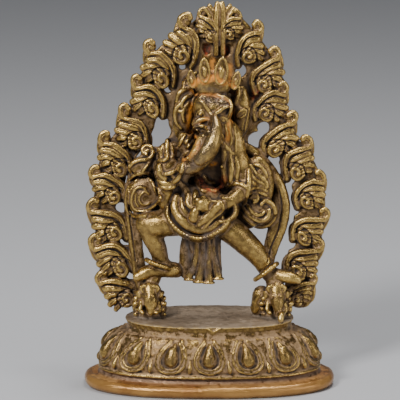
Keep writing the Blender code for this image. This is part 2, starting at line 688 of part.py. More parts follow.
def drapery(wax):
    """Hem, girdle, the cloth over the belly and the hand on it."""
    for line, thick in ((HEM, 2.8), (GIRDLE_LOOP, 2.3)):
        wax.strand([(x, up, y + 5, thick * 1.6) for x, up, y in line], 1.4)
        wax.strand([(x, up, y, thick) for x, up, y in line])
    # The roll of cloth, and the lip that doubles back over it.
    wax.laid([
        (-33, 120, 4), (-34.6, 112, 4.6), (-32, 104, 5.2), (-26.4, 97, 5.6), (-19, 91, 5.4), (-10, 88, 5),
        (0, 89.4, 4.6), (8, 95, 4), (11.6, 100, 3.6),
    ], 0.6)
    wax.laid([
        (-13, 88.6, 1.9), (-7, 88.4, 2.2), (-2, 93, 2.2), (3, 98.6, 2.2), (9, 103, 2.2), (13, 107, 2.2),
        (12.6, 112, 2.2), (9, 115, 2),
    ], 2.6)
    wax.laid([(-10, 94, 4), (-3, 99.4, 5), (4, 107, 5.4), (10, 112, 5)], 0.5)
    # Folds between the roll and the hand.
    for rows in (
        [(-28, 118, 2.6), (-26.6, 110, 3.2), (-23.4, 104, 3.2), (-19.4, 99.4, 2.6)],
        [(-22.6, 121, 2.6), (-21, 113, 3.2), (-16.6, 108.4, 3)],
        [(-30, 134, 3), (-24.4, 128, 3.6), (-21, 122, 3.4), (-19, 116, 2.8)],
        [(-14, 125, 3), (-14, 118, 3.6), (-15.4, 112, 3)],
        [(-14, 106, 4.6), (-16, 99, 5)],
    ):
        wax.laid(rows, 0.5)
    # The square sweet in the hand, knobbed at its corners.
    wax.laid([(-7.4, 113.4, 7.4), (-6.4, 113.4, 7.4)], 0.45)
    for x, up in ((-12, 117.4), (-6, 119.6), (-1, 115.4), (-3.4, 108.6), (-10.6, 109)):
        wax.laid([(x - 0.3, up, 2.4), (x + 0.3, up, 2.4)], 2.8)
    # The cloth on the shoulder, and the ragged rim round the hollow of the breast.
    for rows in (
        [(14, 168, 3), (15.6, 154, 3.4), (16, 138, 3)],
        [(21, 164, 3), (21.6, 152, 3.6), (20, 137, 3)],
        [(27, 152, 3), (31, 155, 3.4), (35, 142, 3)],
        [(16, 129.6, 2.0), (23, 132.4, 2.6), (30, 132.6, 2.6), (37, 129, 2.2)],
        [
            (12, 150, 2.4), (14, 140, 2.8), (12, 131, 3), (5, 126.4, 3), (-4, 127, 3), (-11, 131, 3),
            (-14.4, 138, 2.6),
        ],
    ):
        wax.laid(rows, 0.2)


def raised_hand(wax):
    """The bowl lifted to the trunk: its cupped rims and the fingers over it."""
    for rows, lift in (
        ([
            (-53, 155, 2.4), (-53, 147, 2.8), (-51, 139.4, 3), (-47, 135, 3), (-41, 133.5, 3),
            (-35, 135.5, 3), (-30, 140, 3), (-27, 147, 2.8), (-26, 156, 2.2),
        ], 0.5),
        ([(-52, 136, 1.8), (-48, 131.5, 2.3), (-43, 129.5, 2.4), (-37, 130, 2.3), (-30, 134, 1.8)], 0.6),
        ([(-30.6, 156, 2.0), (-31, 150, 2.4), (-34.4, 145.4, 2.5), (-39, 143.4, 2.5), (-44, 143, 2)], 0.8),
        ([(-49, 150, 3.4), (-47.4, 142, 3.6)], 0.3),
        ([(-52, 154.6, 2.0), (-47, 156, 2.3), (-42, 157.4, 1.8)], 0.8),
        ([(-51.4, 157, 2.0), (-51.4, 163, 2.2), (-50, 167, 1.8)], 0.4),
        ([(-47.4, 158, 2.6), (-47, 165, 2.6), (-46, 170, 2.0)], 0.3),
        ([(-42, 158, 2.8), (-42, 168, 3.0), (-42, 176, 2.4)], 0.7),
        ([(-36.6, 158, 2.6), (-36.8, 166, 2.6), (-37.6, 171.4, 1.8)], 0.3),
    ):
        wax.laid(rows, lift)


def left_scarf(wax):
    """The scarf's coil behind the raised arm, and the curled end above it."""
    for rows, lift in (
        ([
            (-78, 136, 2.0), (-70, 141, 2.4), (-61, 141.4, 2.6), (-54.6, 137, 2.6), (-50.6, 129, 2.4),
            (-48.6, 120, 2),
        ], 0.3),
        ([
            (-70, 138, 2.0), (-77, 134, 2.4), (-81.5, 127, 2.6), (-83, 118, 2.6), (-82.6, 109, 2.6),
            (-79.4, 103.4, 2.6), (-73, 100.5, 2.5), (-64, 101, 2.3),
        ], 0.5),
        ([
            (-62, 126, 1.8), (-67, 130, 2), (-73, 128, 2), (-76.6, 122, 2), (-77, 115, 2), (-75, 109, 2),
            (-70, 106, 2), (-62, 106.5, 2), (-55, 111, 2),
        ], 0.4),
        ([(-60, 122.6, 1.7), (-65, 124, 1.8), (-69, 120.4, 1.8), (-68, 115, 1.8), (-62.6, 113.6, 1.7)], 0.3),
        ([
            (-63, 161.4, 2), (-66.6, 165, 2.1), (-64.4, 169.6, 2.2), (-59.4, 170, 2.3), (-56.4, 165, 2.4),
            (-58.4, 159, 2.4), (-63, 156.6, 2.3), (-70, 156, 2.2), (-76.6, 153, 2.2), (-79.4, 148.6, 2.2),
            (-76.6, 142.4, 2.2), (-71.5, 138, 2),
        ], 0.6),
        ([(-58, 160, 1.8), (-61, 153, 1.9), (-66, 146, 1.9), (-71, 139, 1.8)], 0.4),
    ):
        wax.laid(rows, lift)


def right_scarf(wax):
    """The scarf's folds behind the other arm, down to the large coil round its dark eye."""
    for rows, lift in (
        ([
            (30, 109, 2.6), (35, 101.4, 3.1), (42, 94.4, 3.3), (51, 91, 3.3), (59.4, 93.6, 3.3),
            (64.4, 100.4, 3.3), (64.6, 108.6, 3.2), (60, 115.4, 3), (54, 116.4, 2.6),
        ], 0.4),
        ([
            (35, 108.6, 2.4), (40, 101.6, 2.8), (47, 97.4, 2.9), (54.6, 98.4, 2.9), (58.8, 104, 2.8),
            (57.6, 110, 2.4),
        ], 0.4),
        ([(39, 112, 2.2), (41.6, 106.6, 2.6), (46.6, 103, 2.7), (52, 104, 2.3)], 0.4),
        ([(42, 120, 2.6), (45.4, 117, 3.8), (46, 114, 3)], 0.4),
        ([(40, 121.6, 1.9), (47, 125, 2.3), (55, 122, 2.1)], 0.4),
        ([(40, 126.6, 1.9), (48, 129.4, 2.3), (56, 126.6, 2.1)], 0.4),
        ([(41, 151, 2.4), (46, 145.6, 3), (48.6, 140.6, 3), (54, 136, 3), (57, 131, 2.4)], 0.4),
        ([(40, 138, 2.2), (45, 134, 2.9), (52, 130.6, 2.8), (57, 129, 2.2)], 0.4),
        ([(44.6, 152, 2.2), (52, 148, 2.8), (56, 141, 2.6)], 0.4),
        ([(39.6, 148, 2.4), (40, 136, 2.8), (38.6, 124, 2.6), (36, 115, 2.4)], 0.4),
    ):
        wax.laid(rows, lift)


# The crown's leaves, as x, height, depth and half sizes; those at the sides lean outwards.
CROWN_LEAVES = (
    (-17.5, 236, -10, 4.4, 9), (-5, 244, -15, 5.6, 12.5), (11.6, 243.4, -16, 7, 14),
    (26, 234.5, -9, 4.4, 9),
)
LEAF_LEAN = 0.008


def head_ornament(wax):
    """Crown, ears, brows, tusk and the ribbons beside the head."""
    wax.boss((3, 232, -6), (19, 12, 15))
    # The crown's band, and the rim of the headcloth under it.
    wax.laid([(-12, 226.6, 1.8), (-8, 228.4, 2.3), (2, 227, 2.4), (12, 224, 2.4), (21, 220.6, 1.9)], 1.3)
    wax.laid([
        (-15.4, 218, 1.8), (-10, 222.4, 2), (0, 222.6, 2), (10, 219.6, 2), (18, 216, 2), (21.6, 210, 1.9),
        (19.6, 202, 1.8),
    ], 0.6)
    for x, up, y, wide, tall in CROWN_LEAVES:
        wax.boss((x, up, y), (wide, 3.4, tall), lean=LEAF_LEAN * x)
        wax.boss((x, up - tall * 0.12, y - 2.6), (wide * 0.5, 2.2, tall * 0.5), lean=LEAF_LEAN * x)
    # Brows, meeting over the root of the trunk, and the eyes under them.
    wax.laid([(-10, 215, 1.6), (-6, 212, 2), (-2.4, 207, 2.2), (1.6, 201, 2)], 0.5)
    wax.laid([(20.6, 209.4, 1.8), (14, 207.4, 2.2), (8, 203.4, 2.4), (3.6, 200, 1.8)], 0.6)
    for x, up in ((-9.2, 201.6), (13, 195.4)):
        wax.laid([(x - 0.8, up, 2.6), (x + 0.8, up, 2.6)], 0.7)
    # The roll under the eye, the root of the tusk and the lip.
    wax.laid([(-16, 192, 2.4), (-11, 195, 3), (-6, 196.6, 2.8), (-1.6, 196.4, 2)], 0.6)
    wax.laid([(-17, 185.6, 1.8), (-14, 189, 2), (-9, 190, 2.4), (-4, 188.4, 2.4)], 0.6)
    # Ears with their rolled edges.
    wax.laid([
        (-16.4, 186, 2.4), (-12.6, 182, 2.8), (-11, 176, 3), (-12.4, 169, 3), (-16.4, 162, 3),
        (-22, 156.6, 2.8), (-26, 153.4, 2.4),
    ], 0.7)
    wax.laid([(16, 200, 2), (19, 194, 2.4), (20, 187, 2)], 0.3)
    wax.laid([(12, 181, 2), (14, 174, 2.6), (18.6, 166.6, 2.6), (23, 163, 2)], 0.3)
    wax.laid([(24.6, 188, 2), (25.6, 178, 2.6), (26, 166, 2)], 0.3)
    # Locks and ribbons at the temples.
    for rows in (
        [(-14, 243, 2.4), (-20, 240, 2.9), (-25, 234, 2.9), (-26, 228, 2.4)],
        [(-20, 228, 2.4), (-26, 226, 3), (-31, 221, 3), (-32, 215, 2.4)],
        [(-29, 212, 2.4), (-33, 207, 3), (-34, 200, 3), (-32, 193, 2.6), (-28, 188, 2.4)],
        [(-21, 213, 2.2), (-25, 207, 2.6), (-26.4, 201, 2.6), (-25, 195, 2.2)],
        [(29, 228, 2.4), (28, 220, 2.8), (26, 212, 2.4)],
    ):
        wax.laid(rows, 0.3)


def anklets(wax):
    """The rings round both ankles."""
    wax.strand([
        (-63, 57, -1, 2.8), (-61, 56, -8, 2.8), (-54, 53, -13, 2.8), (-46, 50.4, -13, 2.8),
        (-40.6, 48.4, -8, 2.8), (-39.6, 48, -1, 2.8),
    ])
    wax.strand([
        (46, 37, -1, 2.8), (48, 38.6, -8, 2.8), (54, 43, -13, 2.8), (60.6, 48, -13, 2.8),
        (66, 52, -8, 2.8), (67.6, 53, -1, 2.8),
    ])


def level_underside(mesh):
    """Files the foot flat at height zero."""
    work = bmesh.new()
    work.from_mesh(mesh)
    everything = [*work.verts, *work.edges, *work.faces]
    ground = {"plane_co": (0, 0, 0), "plane_no": (0, 0, 1)}
    bmesh.ops.bisect_plane(work, geom=everything, dist=1e-7, clear_inner=True, **ground)
    rim = [edge for edge in work.edges if edge.is_boundary]
    bmesh.ops.contextual_create(work, geom=rim)
    bmesh.ops.recalc_face_normals(work, faces=work.faces)
    work.to_mesh(mesh)
    work.free()


def bronze():
    """A Principled material for worn brown bronze."""
    made = bpy.data.materials.new("worn_bronze")
    made.use_nodes = True
    shader = made.node_tree.nodes["Principled BSDF"]
    shader.inputs["Base Color"].default_value = (0.33, 0.26, 0.13, 1)
    shader.inputs["Metallic"].default_value = 0.85
    shader.inputs["Roughness"].default_value = 0.42
    made.diffuse_color = (0.33, 0.26, 0.13, 1)
    return made


def object_from(name, points, faces):
    """A new object from points in millimetres and the faces that use them."""
    used = sorted({i for face in faces for i in face})
    order = {i: k for k, i in enumerate(used)}
    mesh = bpy.data.meshes.new(name)
    mesh.from_pydata(points[used] * MM, [], [tuple(order[i] for i in face) for face in faces])
    made = bpy.data.objects.new(name, mesh)
    bpy.context.collection.objects.link(made)
    return made


def main():
    for old in list(bpy.data.objects):
        bpy.data.objects.remove(old, do_unlink=True)
    masses = Wax()
    for shape in (body_masses, rails, plate_sheet):
        shape(masses)
    soft = skin("masses", masses, VOXEL, BLEND_PASSES)
    points, faces = baked(soft)
    wax = Wax()
    wax.add(points, faces)
    wax.ground = BVHTree.FromPolygons([tuple(p) for p in points], faces)
    stand = (pedestal, aureole, rats)
    dress = (sash, anklets, drapery, raised_hand, left_scarf, right_scarf, head_ornament)
    for shape in stand + dress:
        shape(wax)
    rough = skin("rough", wax, VOXEL, SOFTEN_PASSES)
    points, faces = baked(rough)
    faces = fill_pockets(points, faces)
    dense = object_from("dense", points, faces)
    thin = dense.modifiers.new("Thin", "DECIMATE")
    thin.ratio = min(1.0, FACE_BUDGET / sum(len(face) - 2 for face in faces))
    thin.use_collapse_triangulate = True
    points, faces = baked(dense)
    for old in (soft, rough, dense):
        bpy.data.objects.remove(old, do_unlink=True)
    statue = object_from("statue", points, faces)
    level_underside(statue.data)
    statue.data.materials.append(bronze())


main()
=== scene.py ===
"""Looks of a small cast bronze: an elephant-headed dancer on two rats, in an aureole on a lotus pedestal.

Lengths are in millimetres until a mesh is made. The figure and the aureole are drawn on a grid, as they are
seen from 12 degrees above: x to the right, up the picture, y away from the viewer.
"""

import math

import bmesh
import bpy
import numpy as np
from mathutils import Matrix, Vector, noise
from mathutils.bvhtree import BVHTree


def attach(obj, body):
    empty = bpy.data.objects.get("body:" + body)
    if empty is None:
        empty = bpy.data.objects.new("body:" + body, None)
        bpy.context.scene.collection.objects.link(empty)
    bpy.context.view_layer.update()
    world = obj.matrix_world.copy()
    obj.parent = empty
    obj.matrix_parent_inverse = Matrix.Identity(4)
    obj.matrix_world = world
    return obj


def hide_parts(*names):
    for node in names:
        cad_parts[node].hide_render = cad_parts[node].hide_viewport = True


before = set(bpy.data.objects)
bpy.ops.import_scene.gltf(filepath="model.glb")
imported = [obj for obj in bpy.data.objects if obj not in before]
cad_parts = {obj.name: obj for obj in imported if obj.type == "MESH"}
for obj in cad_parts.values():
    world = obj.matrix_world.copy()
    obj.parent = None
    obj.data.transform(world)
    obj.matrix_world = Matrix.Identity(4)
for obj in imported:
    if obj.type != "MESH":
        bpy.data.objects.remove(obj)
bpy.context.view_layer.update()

MM = 0.001

# Overall height, from the underside to the tip of the aureole.
TOTAL_HEIGHT = 138.4

# Pedestal, as in the solid.
BASE_WIDTH = 90.4
BASE_DEPTH = 47.0
FOOT_HEIGHT = 4.2
WAIST_HEIGHT = 1.8
WAIST_WIDTH = 81.0
WAIST_DEPTH = 39.0
WAIST_TAPER = 1.2
LOTUS_HEIGHT = 14.6
LOTUS_WIDTH = 80.5
LOTUS_DEPTH = 40.5
LOTUS_FULLNESS = 0.62
COLLAR_WIDTH = 60.0
COLLAR_DEPTH = 33.0
COLLAR_HEIGHT = 4.0
COLLAR_RECESS = 0.5
PLATE_LIP = 0.7
NOTCH_DEPTH = 1.4
NOTCH_WIDTH = 4.4
NOTCH_PLACE = 1.4
BASE_SQUARENESS = 2.35
PETAL_COUNT = 14
PETAL_BOSS_WIDTH = 5.4
PETAL_BOSS_RISE = 2.1
PETAL_RIM = 0.5
PETAL_GROOVE = 0.7

# Figure and aureole: one free form, drawn on a grid of DRAWN_HEIGHT squares above the pedestal.
DRAWN_HEIGHT = 318.2

# Aureole.
AUREOLE_BACK = 8.2
AUREOLE_THICKNESS = 3.0

# Skin: the masses are blended more softly than the whole. Lengths in millimetres.
BLEND_VOXEL = 0.62
BLEND_PASSES = 8
VOXEL = 0.25
SOFTEN_PASSES = 2
# Triangles that a slice of the skin is thinned to, and the number of slices.
PIECE_BUDGET = 190000
PIECES = 3

PLATE_TOP = FOOT_HEIGHT + WAIST_HEIGHT + LOTUS_HEIGHT + COLLAR_HEIGHT
UNIT = (TOTAL_HEIGHT - PLATE_TOP) / DRAWN_HEIGHT
# The front and back of the aureole's plate, in squares of the drawing.
FRONT = (AUREOLE_BACK - AUREOLE_THICKNESS) / UNIT
BACK = AUREOLE_BACK / UNIT
# The photo looks down on the statue by this angle, and the drawing with it.
VIEW_ANGLE = math.radians(12.0)
VIEW_DROP = math.tan(VIEW_ANGLE)
VIEW_SHORTENING = math.cos(VIEW_ANGLE)
# How far, on the grid, a hand-cut flame strays from its neighbour's shape.
FLAME_DRIFT = 1.3
# The most fins that stand behind a strand where it bridges a hollow.
MOST_FINS = 7


def at(x, up, y):
    """A point of the drawing: what stands further forward is really higher than it looks."""
    return (x * UNIT, y * UNIT, PLATE_TOP + (up / VIEW_SHORTENING - y * VIEW_DROP) * UNIT)


def smooth_line(rows, steps):
    """A Catmull-Rom curve through rows of numbers, ends included."""
    rows = np.asarray(rows, float)
    if len(rows) < 3:
        share = np.linspace(0, 1, steps + 1)[:, None]
        return rows[0] * (1 - share) + rows[-1] * share
    padded = np.vstack([2 * rows[0] - rows[1], rows, 2 * rows[-1] - rows[-2]])
    found = []
    for a, b, c, d in zip(padded, padded[1:], padded[2:], padded[3:]):
        t = np.arange(steps)[:, None] / steps
        found.append(b + 0.5 * t * (c - a + t * (2 * a - 5 * b + 4 * c - d + t * (3 * (b - c) + d - a))))
    return np.vstack([*found, rows[-1]])


def unit_rows(vectors):
    return vectors / np.maximum(np.linalg.norm(vectors, axis=1, keepdims=True), 1e-9)


def edges_of(faces):
    """The four edges of each face, as pairs of point numbers."""
    return np.vstack([faces[:, [0, 1]], faces[:, [1, 2]], faces[:, [2, 3]], faces[:, [3, 0]]])


def placed(name, data):
    """A new object in the scene."""
    made = bpy.data.objects.new(name, data)
    bpy.context.collection.objects.link(made)
    return made


class Wax:
    """Closed shapes that overlap, gathered as points and faces."""

    def __init__(self):
        self.points = []
        self.faces = []
        self.count = 0
        self.ground = None

    def add(self, points, faces):
        self.points.append(np.asarray(points, float))
        self.faces.extend([tuple(i + self.count for i in face) for face in faces])
        self.count += len(points)

    def add_rings(self, rings):
        """Skins a list of rings with the same number of points, and closes both ends."""
        sides = len(rings[0])
        faces = []
        for k in range(len(rings) - 1):
            for i in range(sides):
                j = (i + 1) % sides
                faces.append((k * sides + i, k * sides + j, (k + 1) * sides + j, (k + 1) * sides + i))
        faces.append(tuple(range(sides))[::-1])
        faces.append(tuple((len(rings) - 1) * sides + i for i in range(sides)))
        self.add(np.vstack(rings), faces)

    def bar(self, rows, flat=1.0, sides=12, steps=5):
        """A rolled bar with round ends along rows of (x, y, z, radius); flat thins it front to back."""
        line = smooth_line(rows, steps)
        centre, radius = line[:, :3], np.maximum(line[:, 3], 0.05)
        tangent = unit_rows(np.gradient(centre, axis=0))
        across = unit_rows(np.cross(tangent, (0, 1, 0)) + np.array([1e-6, 0, 1e-6]))
        out = np.cross(across, tangent)
        turn = np.linspace(0, 2 * math.pi, sides, endpoint=False)
        stations = [(0, -math.sin(a), math.cos(a)) for a in (1.3, 0.95, 0.5)]
        stations += [(i, 0.0, 1.0) for i in range(len(line))]
        stations += [(len(line) - 1, math.sin(a), math.cos(a)) for a in (0.5, 0.95, 1.3)]
        rings = []
        for i, push, share in stations:
            middle = centre[i] + tangent[i] * push * radius[i]
            ring = np.outer(np.cos(turn), across[i]) + np.outer(np.sin(turn) * flat, out[i])
            rings.append(middle + ring * radius[i] * share)
        self.add_rings(rings)

    def lump(self, centre, radii, lean=0.0, sides=20):
        """An ellipsoid with half sizes radii along X, Y and Z, leaned in the front view."""
        latitude = np.linspace(-1.45, 1.45, 13)
        longitude = np.linspace(0, 2 * math.pi, sides, endpoint=False)
        c, s = math.cos(lean), math.sin(lean)
        leaning = np.array([[c, 0, s], [0, 1, 0], [-s, 0, c]])
        rings = []
        for a in latitude:
            level, height = math.cos(a), np.full(sides, math.sin(a))
            ring = np.stack([level * np.cos(longitude), level * np.sin(longitude), height], 1)
            rings.append(np.asarray(centre) + (ring * radii) @ leaning.T)
        self.add_rings(rings)

    def strand(self, rows, flat=1.0, **options):
        """A bar given on the drawing, in rows of (x, up, y, radius)."""
        self.bar([(*at(x, up, y), r * UNIT) for x, up, y, r in rows], flat, **options)

    def boss(self, place, radii, lean=0.0):
        """A lump given on the drawing; radii are along X, Y and Z."""
        self.lump(at(*place), np.array(radii) * UNIT, lean)

    def depth(self, x, up):
        """The y, on the drawing's grid, where a look from the front meets the ground, or nothing."""
        start = Vector(at(x, up, -200))
        hit = self.ground.ray_cast(start, Vector((0, 1, -VIEW_DROP)).normalized())[0]
        return None if hit is None else hit.y / UNIT

    def depths(self, places):
        """Depths under places on the drawing, and the same evened out into one sweep."""
        found = [self.depth(x, up) for x, up in places]
        known = [d for d in found if d is not None]
        spare = max(known) if known else 0.0
        ground = np.array([spare if d is None else d for d in found])
        s = np.linspace(-1, 1, len(ground))
        sweep = np.polyval(np.polyfit(s, ground, 3 if len(s) > 8 else 1), s)
        return ground, np.minimum(ground, sweep)

    def laid(self, rows, lift=0.3, flat=1.0, steps=4, **options):
        """A strand laid on the ground, in rows of (x, up, radius); lift is how many radii it stands out."""
        line = smooth_line(rows, steps)
        ground, depths = self.depths(line[:, :2])
        depths = depths - lift * line[:, 2]
        self.strand([(x, up, d, r) for (x, up, r), d in zip(line, depths)], flat, steps=1, **options)
        # Fins behind it, down to the ground, so that no gap is left under it.
        thick = line[:, 2].mean()
        fins = min(MOST_FINS, int((ground - depths).max() / thick))
        for k in range(1, 1 + fins):
            behind = np.minimum(depths + k * thick, ground)
            self.strand([(x, up, d, r) for (x, up, r), d in zip(line, behind)], flat, steps=1, sides=8)

    def laid_all(self, table):
        """Strands laid one after another, from a table of (rows, lift)."""
        for rows, lift in table:
            self.laid(rows, lift)

    def laid_each(self, strands, lift):
        """Strands laid one after another, all with one lift."""
        for rows in strands:
            self.laid(rows, lift)

    def on_plate(self, rows, flat=1.0, **options):
        """A strand in rows of (x, up, out, radius), out from the front of the aureole's plate."""
        self.strand([(x, up, FRONT - out, r) for x, up, out, r in rows], flat, **options)

    def beads(self, rows, radius, gap):
        """Beads of one radius along a line of (x, up, y), gap apart."""
        line = smooth_line(rows, 8)
        run = np.concatenate([[0], np.cumsum(np.linalg.norm(np.diff(line, axis=0), axis=1))])
        for s in np.arange(0, run[-1], gap):
            place = [np.interp(s, run, line[:, i]) for i in range(3)]
            self.boss(place, (radius, radius, radius))


def skin(name, wax, voxel, passes):
    """An object with the wax melted into one closed skin by a voxel remesh, and softened by passes."""
    mesh = bpy.data.meshes.new(name)
    mesh.from_pydata(np.vstack(wax.points) * MM, [], wax.faces)
    work = bmesh.new()
    work.from_mesh(mesh)
    bmesh.ops.recalc_face_normals(work, faces=work.faces)
    work.to_mesh(mesh)
    work.free()
    made = placed(name, mesh)
    melt = made.modifiers.new("Melt", "REMESH")
    melt.mode = "VOXEL"
    melt.voxel_size = voxel * MM
    soften = made.modifiers.new("Soften", "SMOOTH")
    soften.factor = 0.5
    soften.iterations = passes
    return made


def baked(made):
    """The points, in millimetres, and the four-sided faces of a remeshed object, which is then removed."""
    seen = made.evaluated_get(bpy.context.evaluated_depsgraph_get())
    mesh = seen.to_mesh()
    points = np.empty(len(mesh.vertices) * 3)
    mesh.vertices.foreach_get("co", points)
    faces = np.empty(len(mesh.loops), dtype=np.int64)
    mesh.loops.foreach_get("vertex_index", faces)
    seen.to_mesh_clear()
    bpy.data.objects.remove(made, do_unlink=True)
    return points.reshape(-1, 3) / MM, faces.reshape(-1, 4)


def outer_skin(points, faces):
    """The largest connected shell alone, without pockets closed inside the wax."""
    label = np.arange(len(points))
    edges = edges_of(faces)
    while True:
        low = np.minimum(label[edges[:, 0]], label[edges[:, 1]])
        before = label.copy()
        np.minimum.at(label, edges[:, 0], low)
        np.minimum.at(label, edges[:, 1], low)
        label = label[label]
        if np.array_equal(label, before):
            break
    main = np.bincount(label).argmax()
    keep = label == main
    order = np.cumsum(keep) - 1
    return points[keep], order[faces[keep[faces[:, 0]]]]


# Pedestal


def oval(half_width, half_depth, height, count):
    """A ring of the pedestal's plan: an oval squared off a little at its corners."""
    turn = np.linspace(0, 2 * math.pi, count, endpoint=False)
    power = 2.0 / BASE_SQUARENESS
    x = half_width * np.sign(np.cos(turn)) * np.abs(np.cos(turn)) ** power
    y = half_depth * np.sign(np.sin(turn)) * np.abs(np.sin(turn)) ** power
    return np.stack([x, y, np.full(count, height)], 1)


def pedestal_profile():
    """Rows of (half width, half depth, height) up the pedestal's outside, from just below its foot."""
    bulge = FOOT_HEIGHT / 2
    foot_turn = 72
    flat_rim = bulge * (1 - math.cos(math.radians(foot_turn)))
    rows = [(BASE_WIDTH / 2 - flat_rim, BASE_DEPTH / 2 - flat_rim, -2 * BLEND_VOXEL)]
    for angle in np.linspace(-foot_turn, 80, 11):
        a = math.radians(angle)
        inset = bulge * (1 - math.cos(a))
        rows.append((BASE_WIDTH / 2 - inset, BASE_DEPTH / 2 - inset, bulge + bulge * math.sin(a)))
    rows.append((WAIST_WIDTH / 2, WAIST_DEPTH / 2, FOOT_HEIGHT))
    rows.append((WAIST_WIDTH / 2 - WAIST_TAPER, WAIST_DEPTH / 2 - WAIST_TAPER, FOOT_HEIGHT + WAIST_HEIGHT))
    for share in np.linspace(0.04, 1, 26):
        groove = PETAL_GROOVE * math.exp(-(((share - 0.15) / 0.06) ** 2))
        rows.append(lotus_row(share, -groove))
    # The collar is waisted, and the plate over it has a rounded lip.
    rim = PLATE_LIP / 2
    for out, drop in ((-COLLAR_RECESS, COLLAR_HEIGHT * 0.6), (0, PLATE_LIP), (rim, rim), (-rim, 0)):
        rows.append((COLLAR_WIDTH / 2 + out, COLLAR_DEPTH / 2 + out, PLATE_TOP - drop))
    return rows


def lotus_row(share, lift):
    """Half width, half depth and height of the lotus band at a share of its height, lift off its surface."""
    swell = math.cos(min(max(share, 0.0), 1.0) * math.pi / 2) ** LOTUS_FULLNESS
    half_width = COLLAR_WIDTH / 2 + (LOTUS_WIDTH - COLLAR_WIDTH) / 2 * swell + lift
    half_depth = COLLAR_DEPTH / 2 + (LOTUS_DEPTH - COLLAR_DEPTH) / 2 * swell + lift
    return half_width, half_depth, FOOT_HEIGHT + WAIST_HEIGHT + LOTUS_HEIGHT * share


def lotus_point(turn, share, lift):
    """A point over the lotus band: turn round the plan, share of its height, lift off its surface."""
    half_width, half_depth, height = lotus_row(share, lift)
    power = 2.0 / BASE_SQUARENESS
    c, s = math.cos(turn), math.sin(turn)
    x = half_width * math.copysign(abs(c) ** power, c)
    y = half_depth * math.copysign(abs(s) ** power, s)
    return x, y, height


def lotus_run():
    """Angles round the plan and the distance travelled along the band to each."""
    turns = np.linspace(-math.pi / 2, 1.5 * math.pi, 721)
    ring = np.array([lotus_point(t, 0.4, 0.0) for t in turns])
    return turns, np.concatenate([[0], np.cumsum(np.linalg.norm(np.diff(ring, axis=0), axis=1))])


def pedestal(wax):
    rings = [oval(*row, 480) for row in pedestal_profile()]
    for ring in rings[-4:]:
        front = (ring[:, 1] < 0) & (np.abs(ring[:, 0] - NOTCH_PLACE) < NOTCH_WIDTH / 2)
        ring[front, 2] -= NOTCH_DEPTH * (1 - np.abs(ring[front, 0] - NOTCH_PLACE) / (NOTCH_WIDTH / 2))
    wax.add_rings(rings)
    turns, run = lotus_run()
    petal_run = run[-1] / PETAL_COUNT
    for k in range(PETAL_COUNT):
        petal(wax, turns, run, k * petal_run, petal_run)


def petal(wax, turns, run, middle, pitch):
    """A teardrop boss in two raised rims, fanning out towards the tip at its foot."""

    def place(across, share, lift):
        s = (middle + across) % run[-1]
        return lotus_point(np.interp(s, run, turns), share, lift)

    boss = PETAL_BOSS_WIDTH / 2
    rows = [(*place(0, 0.84, 0.2), boss * 0.3)]
    for share, sunk, size in ((0.72, 0.6, 0.62), (0.58, 0.72, 0.9), (0.48, 0.8, 0.96)):
        rows.append((*place(0, share, PETAL_BOSS_RISE - boss * sunk), boss * size))
    wax.bar(rows)
    for reach, top, foot, lift in ((0.36, 0.93, 0.25, 0.1), (0.47, 1.0, 0.17, 0.05)):
        rim = []
        for angle in np.linspace(-150, 150, 17):
            a = math.radians(angle)
            across = math.sin(a) * pitch * reach * (0.80 + 0.20 * math.cos(a))
            share = (top + foot) / 2 - (top - foot) / 2 * math.cos(a)
            rim.append((*place(across, share, lift), PETAL_RIM))
        wax.bar(rim, steps=3)
    # The small leaf that shows between two petals, under their rims.
    leaf = ((0.48, -0.2, 0.4), (0.3, 0.1, 1.0), (0.22, 0.1, 0.8))
    wax.bar([(*place(pitch / 2, share, lift), r) for share, lift, r in leaf])


# Aureole

# Each flame: the x and height of the curl at its root, then those of the knob at its hooked tip.
FLAMES_LEFT = (
    (-83, 17, -108, 41),
    (-89, 50, -114, 78),
    (-95, 84, -116, 113),
    (-95, 122, -115, 148),
    (-89, 150, -105, 181),
    (-73, 175, -84, 208),
    (-56, 208, -72, 238),
    (-46, 238, -58, 272),
    (-26, 260, -21, 297),
    (1, 280, -6, 303),
)
FLAMES_RIGHT = (
    (88, 18, 103, 38),
    (88, 46, 108, 74),
    (94, 80, 114, 105),
    (97, 115, 110, 143),
    (86, 146, 95, 178),
    (66, 169, 81, 200),
    (56, 203, 73, 231),
    (54, 232, 64, 264),
    (37, 259, 45, 289),
    (20, 281, 26, 302),
)
# The standard flame runs from its curl at 0, 0 to its knob here.
KNOB = (25, 28)
# Lobes of a flame's leaf, in the flame's own frame, as (along, across, out of the plate, radius).
LOBES = (
    ((-4, 9, 1, 3.4), (3, 12.4, 2.4, 4.0), (12, 13.6, 3, 4.4), (21, 12, 1.6, 4.2)),
    ((2, 7, 1, 3.4), (9, 8, 2.6, 4.2), (16, 6.6, 2.8, 4.4), (22.6, 3.6, 0.8, 3.8)),
    ((6, 3, 1, 3.4), (11, 2.2, 2.2, 4.0), (16, -0.6, 2.0, 4.0), (20, -4.4, 0, 3.4)),
    ((4, -3, 0, 4), (9, -4.6, 0.6, 3.8), (14, -9, -1, 3.2)),
)

# Openings cast through the plate: x, height and half sizes.
OPENINGS = (
    (-80.5, 42, 3.8, 5.4),
    (-85.5, 78, 4.4, 6.6),
    (-89.5, 109.5, 4.6, 4.6),
    (-48, 194, 6.4, 7.6),
    (-44, 184, 5.4, 7.0),
    (-41, 229.5, 4.6, 5.4),
    (-26.5, 250.5, 3.8, 3.8),
    (31, 246, 5.0, 6.0),
    (54, 189, 5.6, 6.4),
    (46, 177, 7.4, 7.4),
    (65, 157, 5.8, 4.4),
    (81, 137, 4.8, 4.4),
    (86.5, 108, 5.0, 4.8),
    (81, 74, 6.0, 5.8),
    (75.5, 44.5, 7.0, 4.4),
    (55, 82, 5.6, 8.0),
)
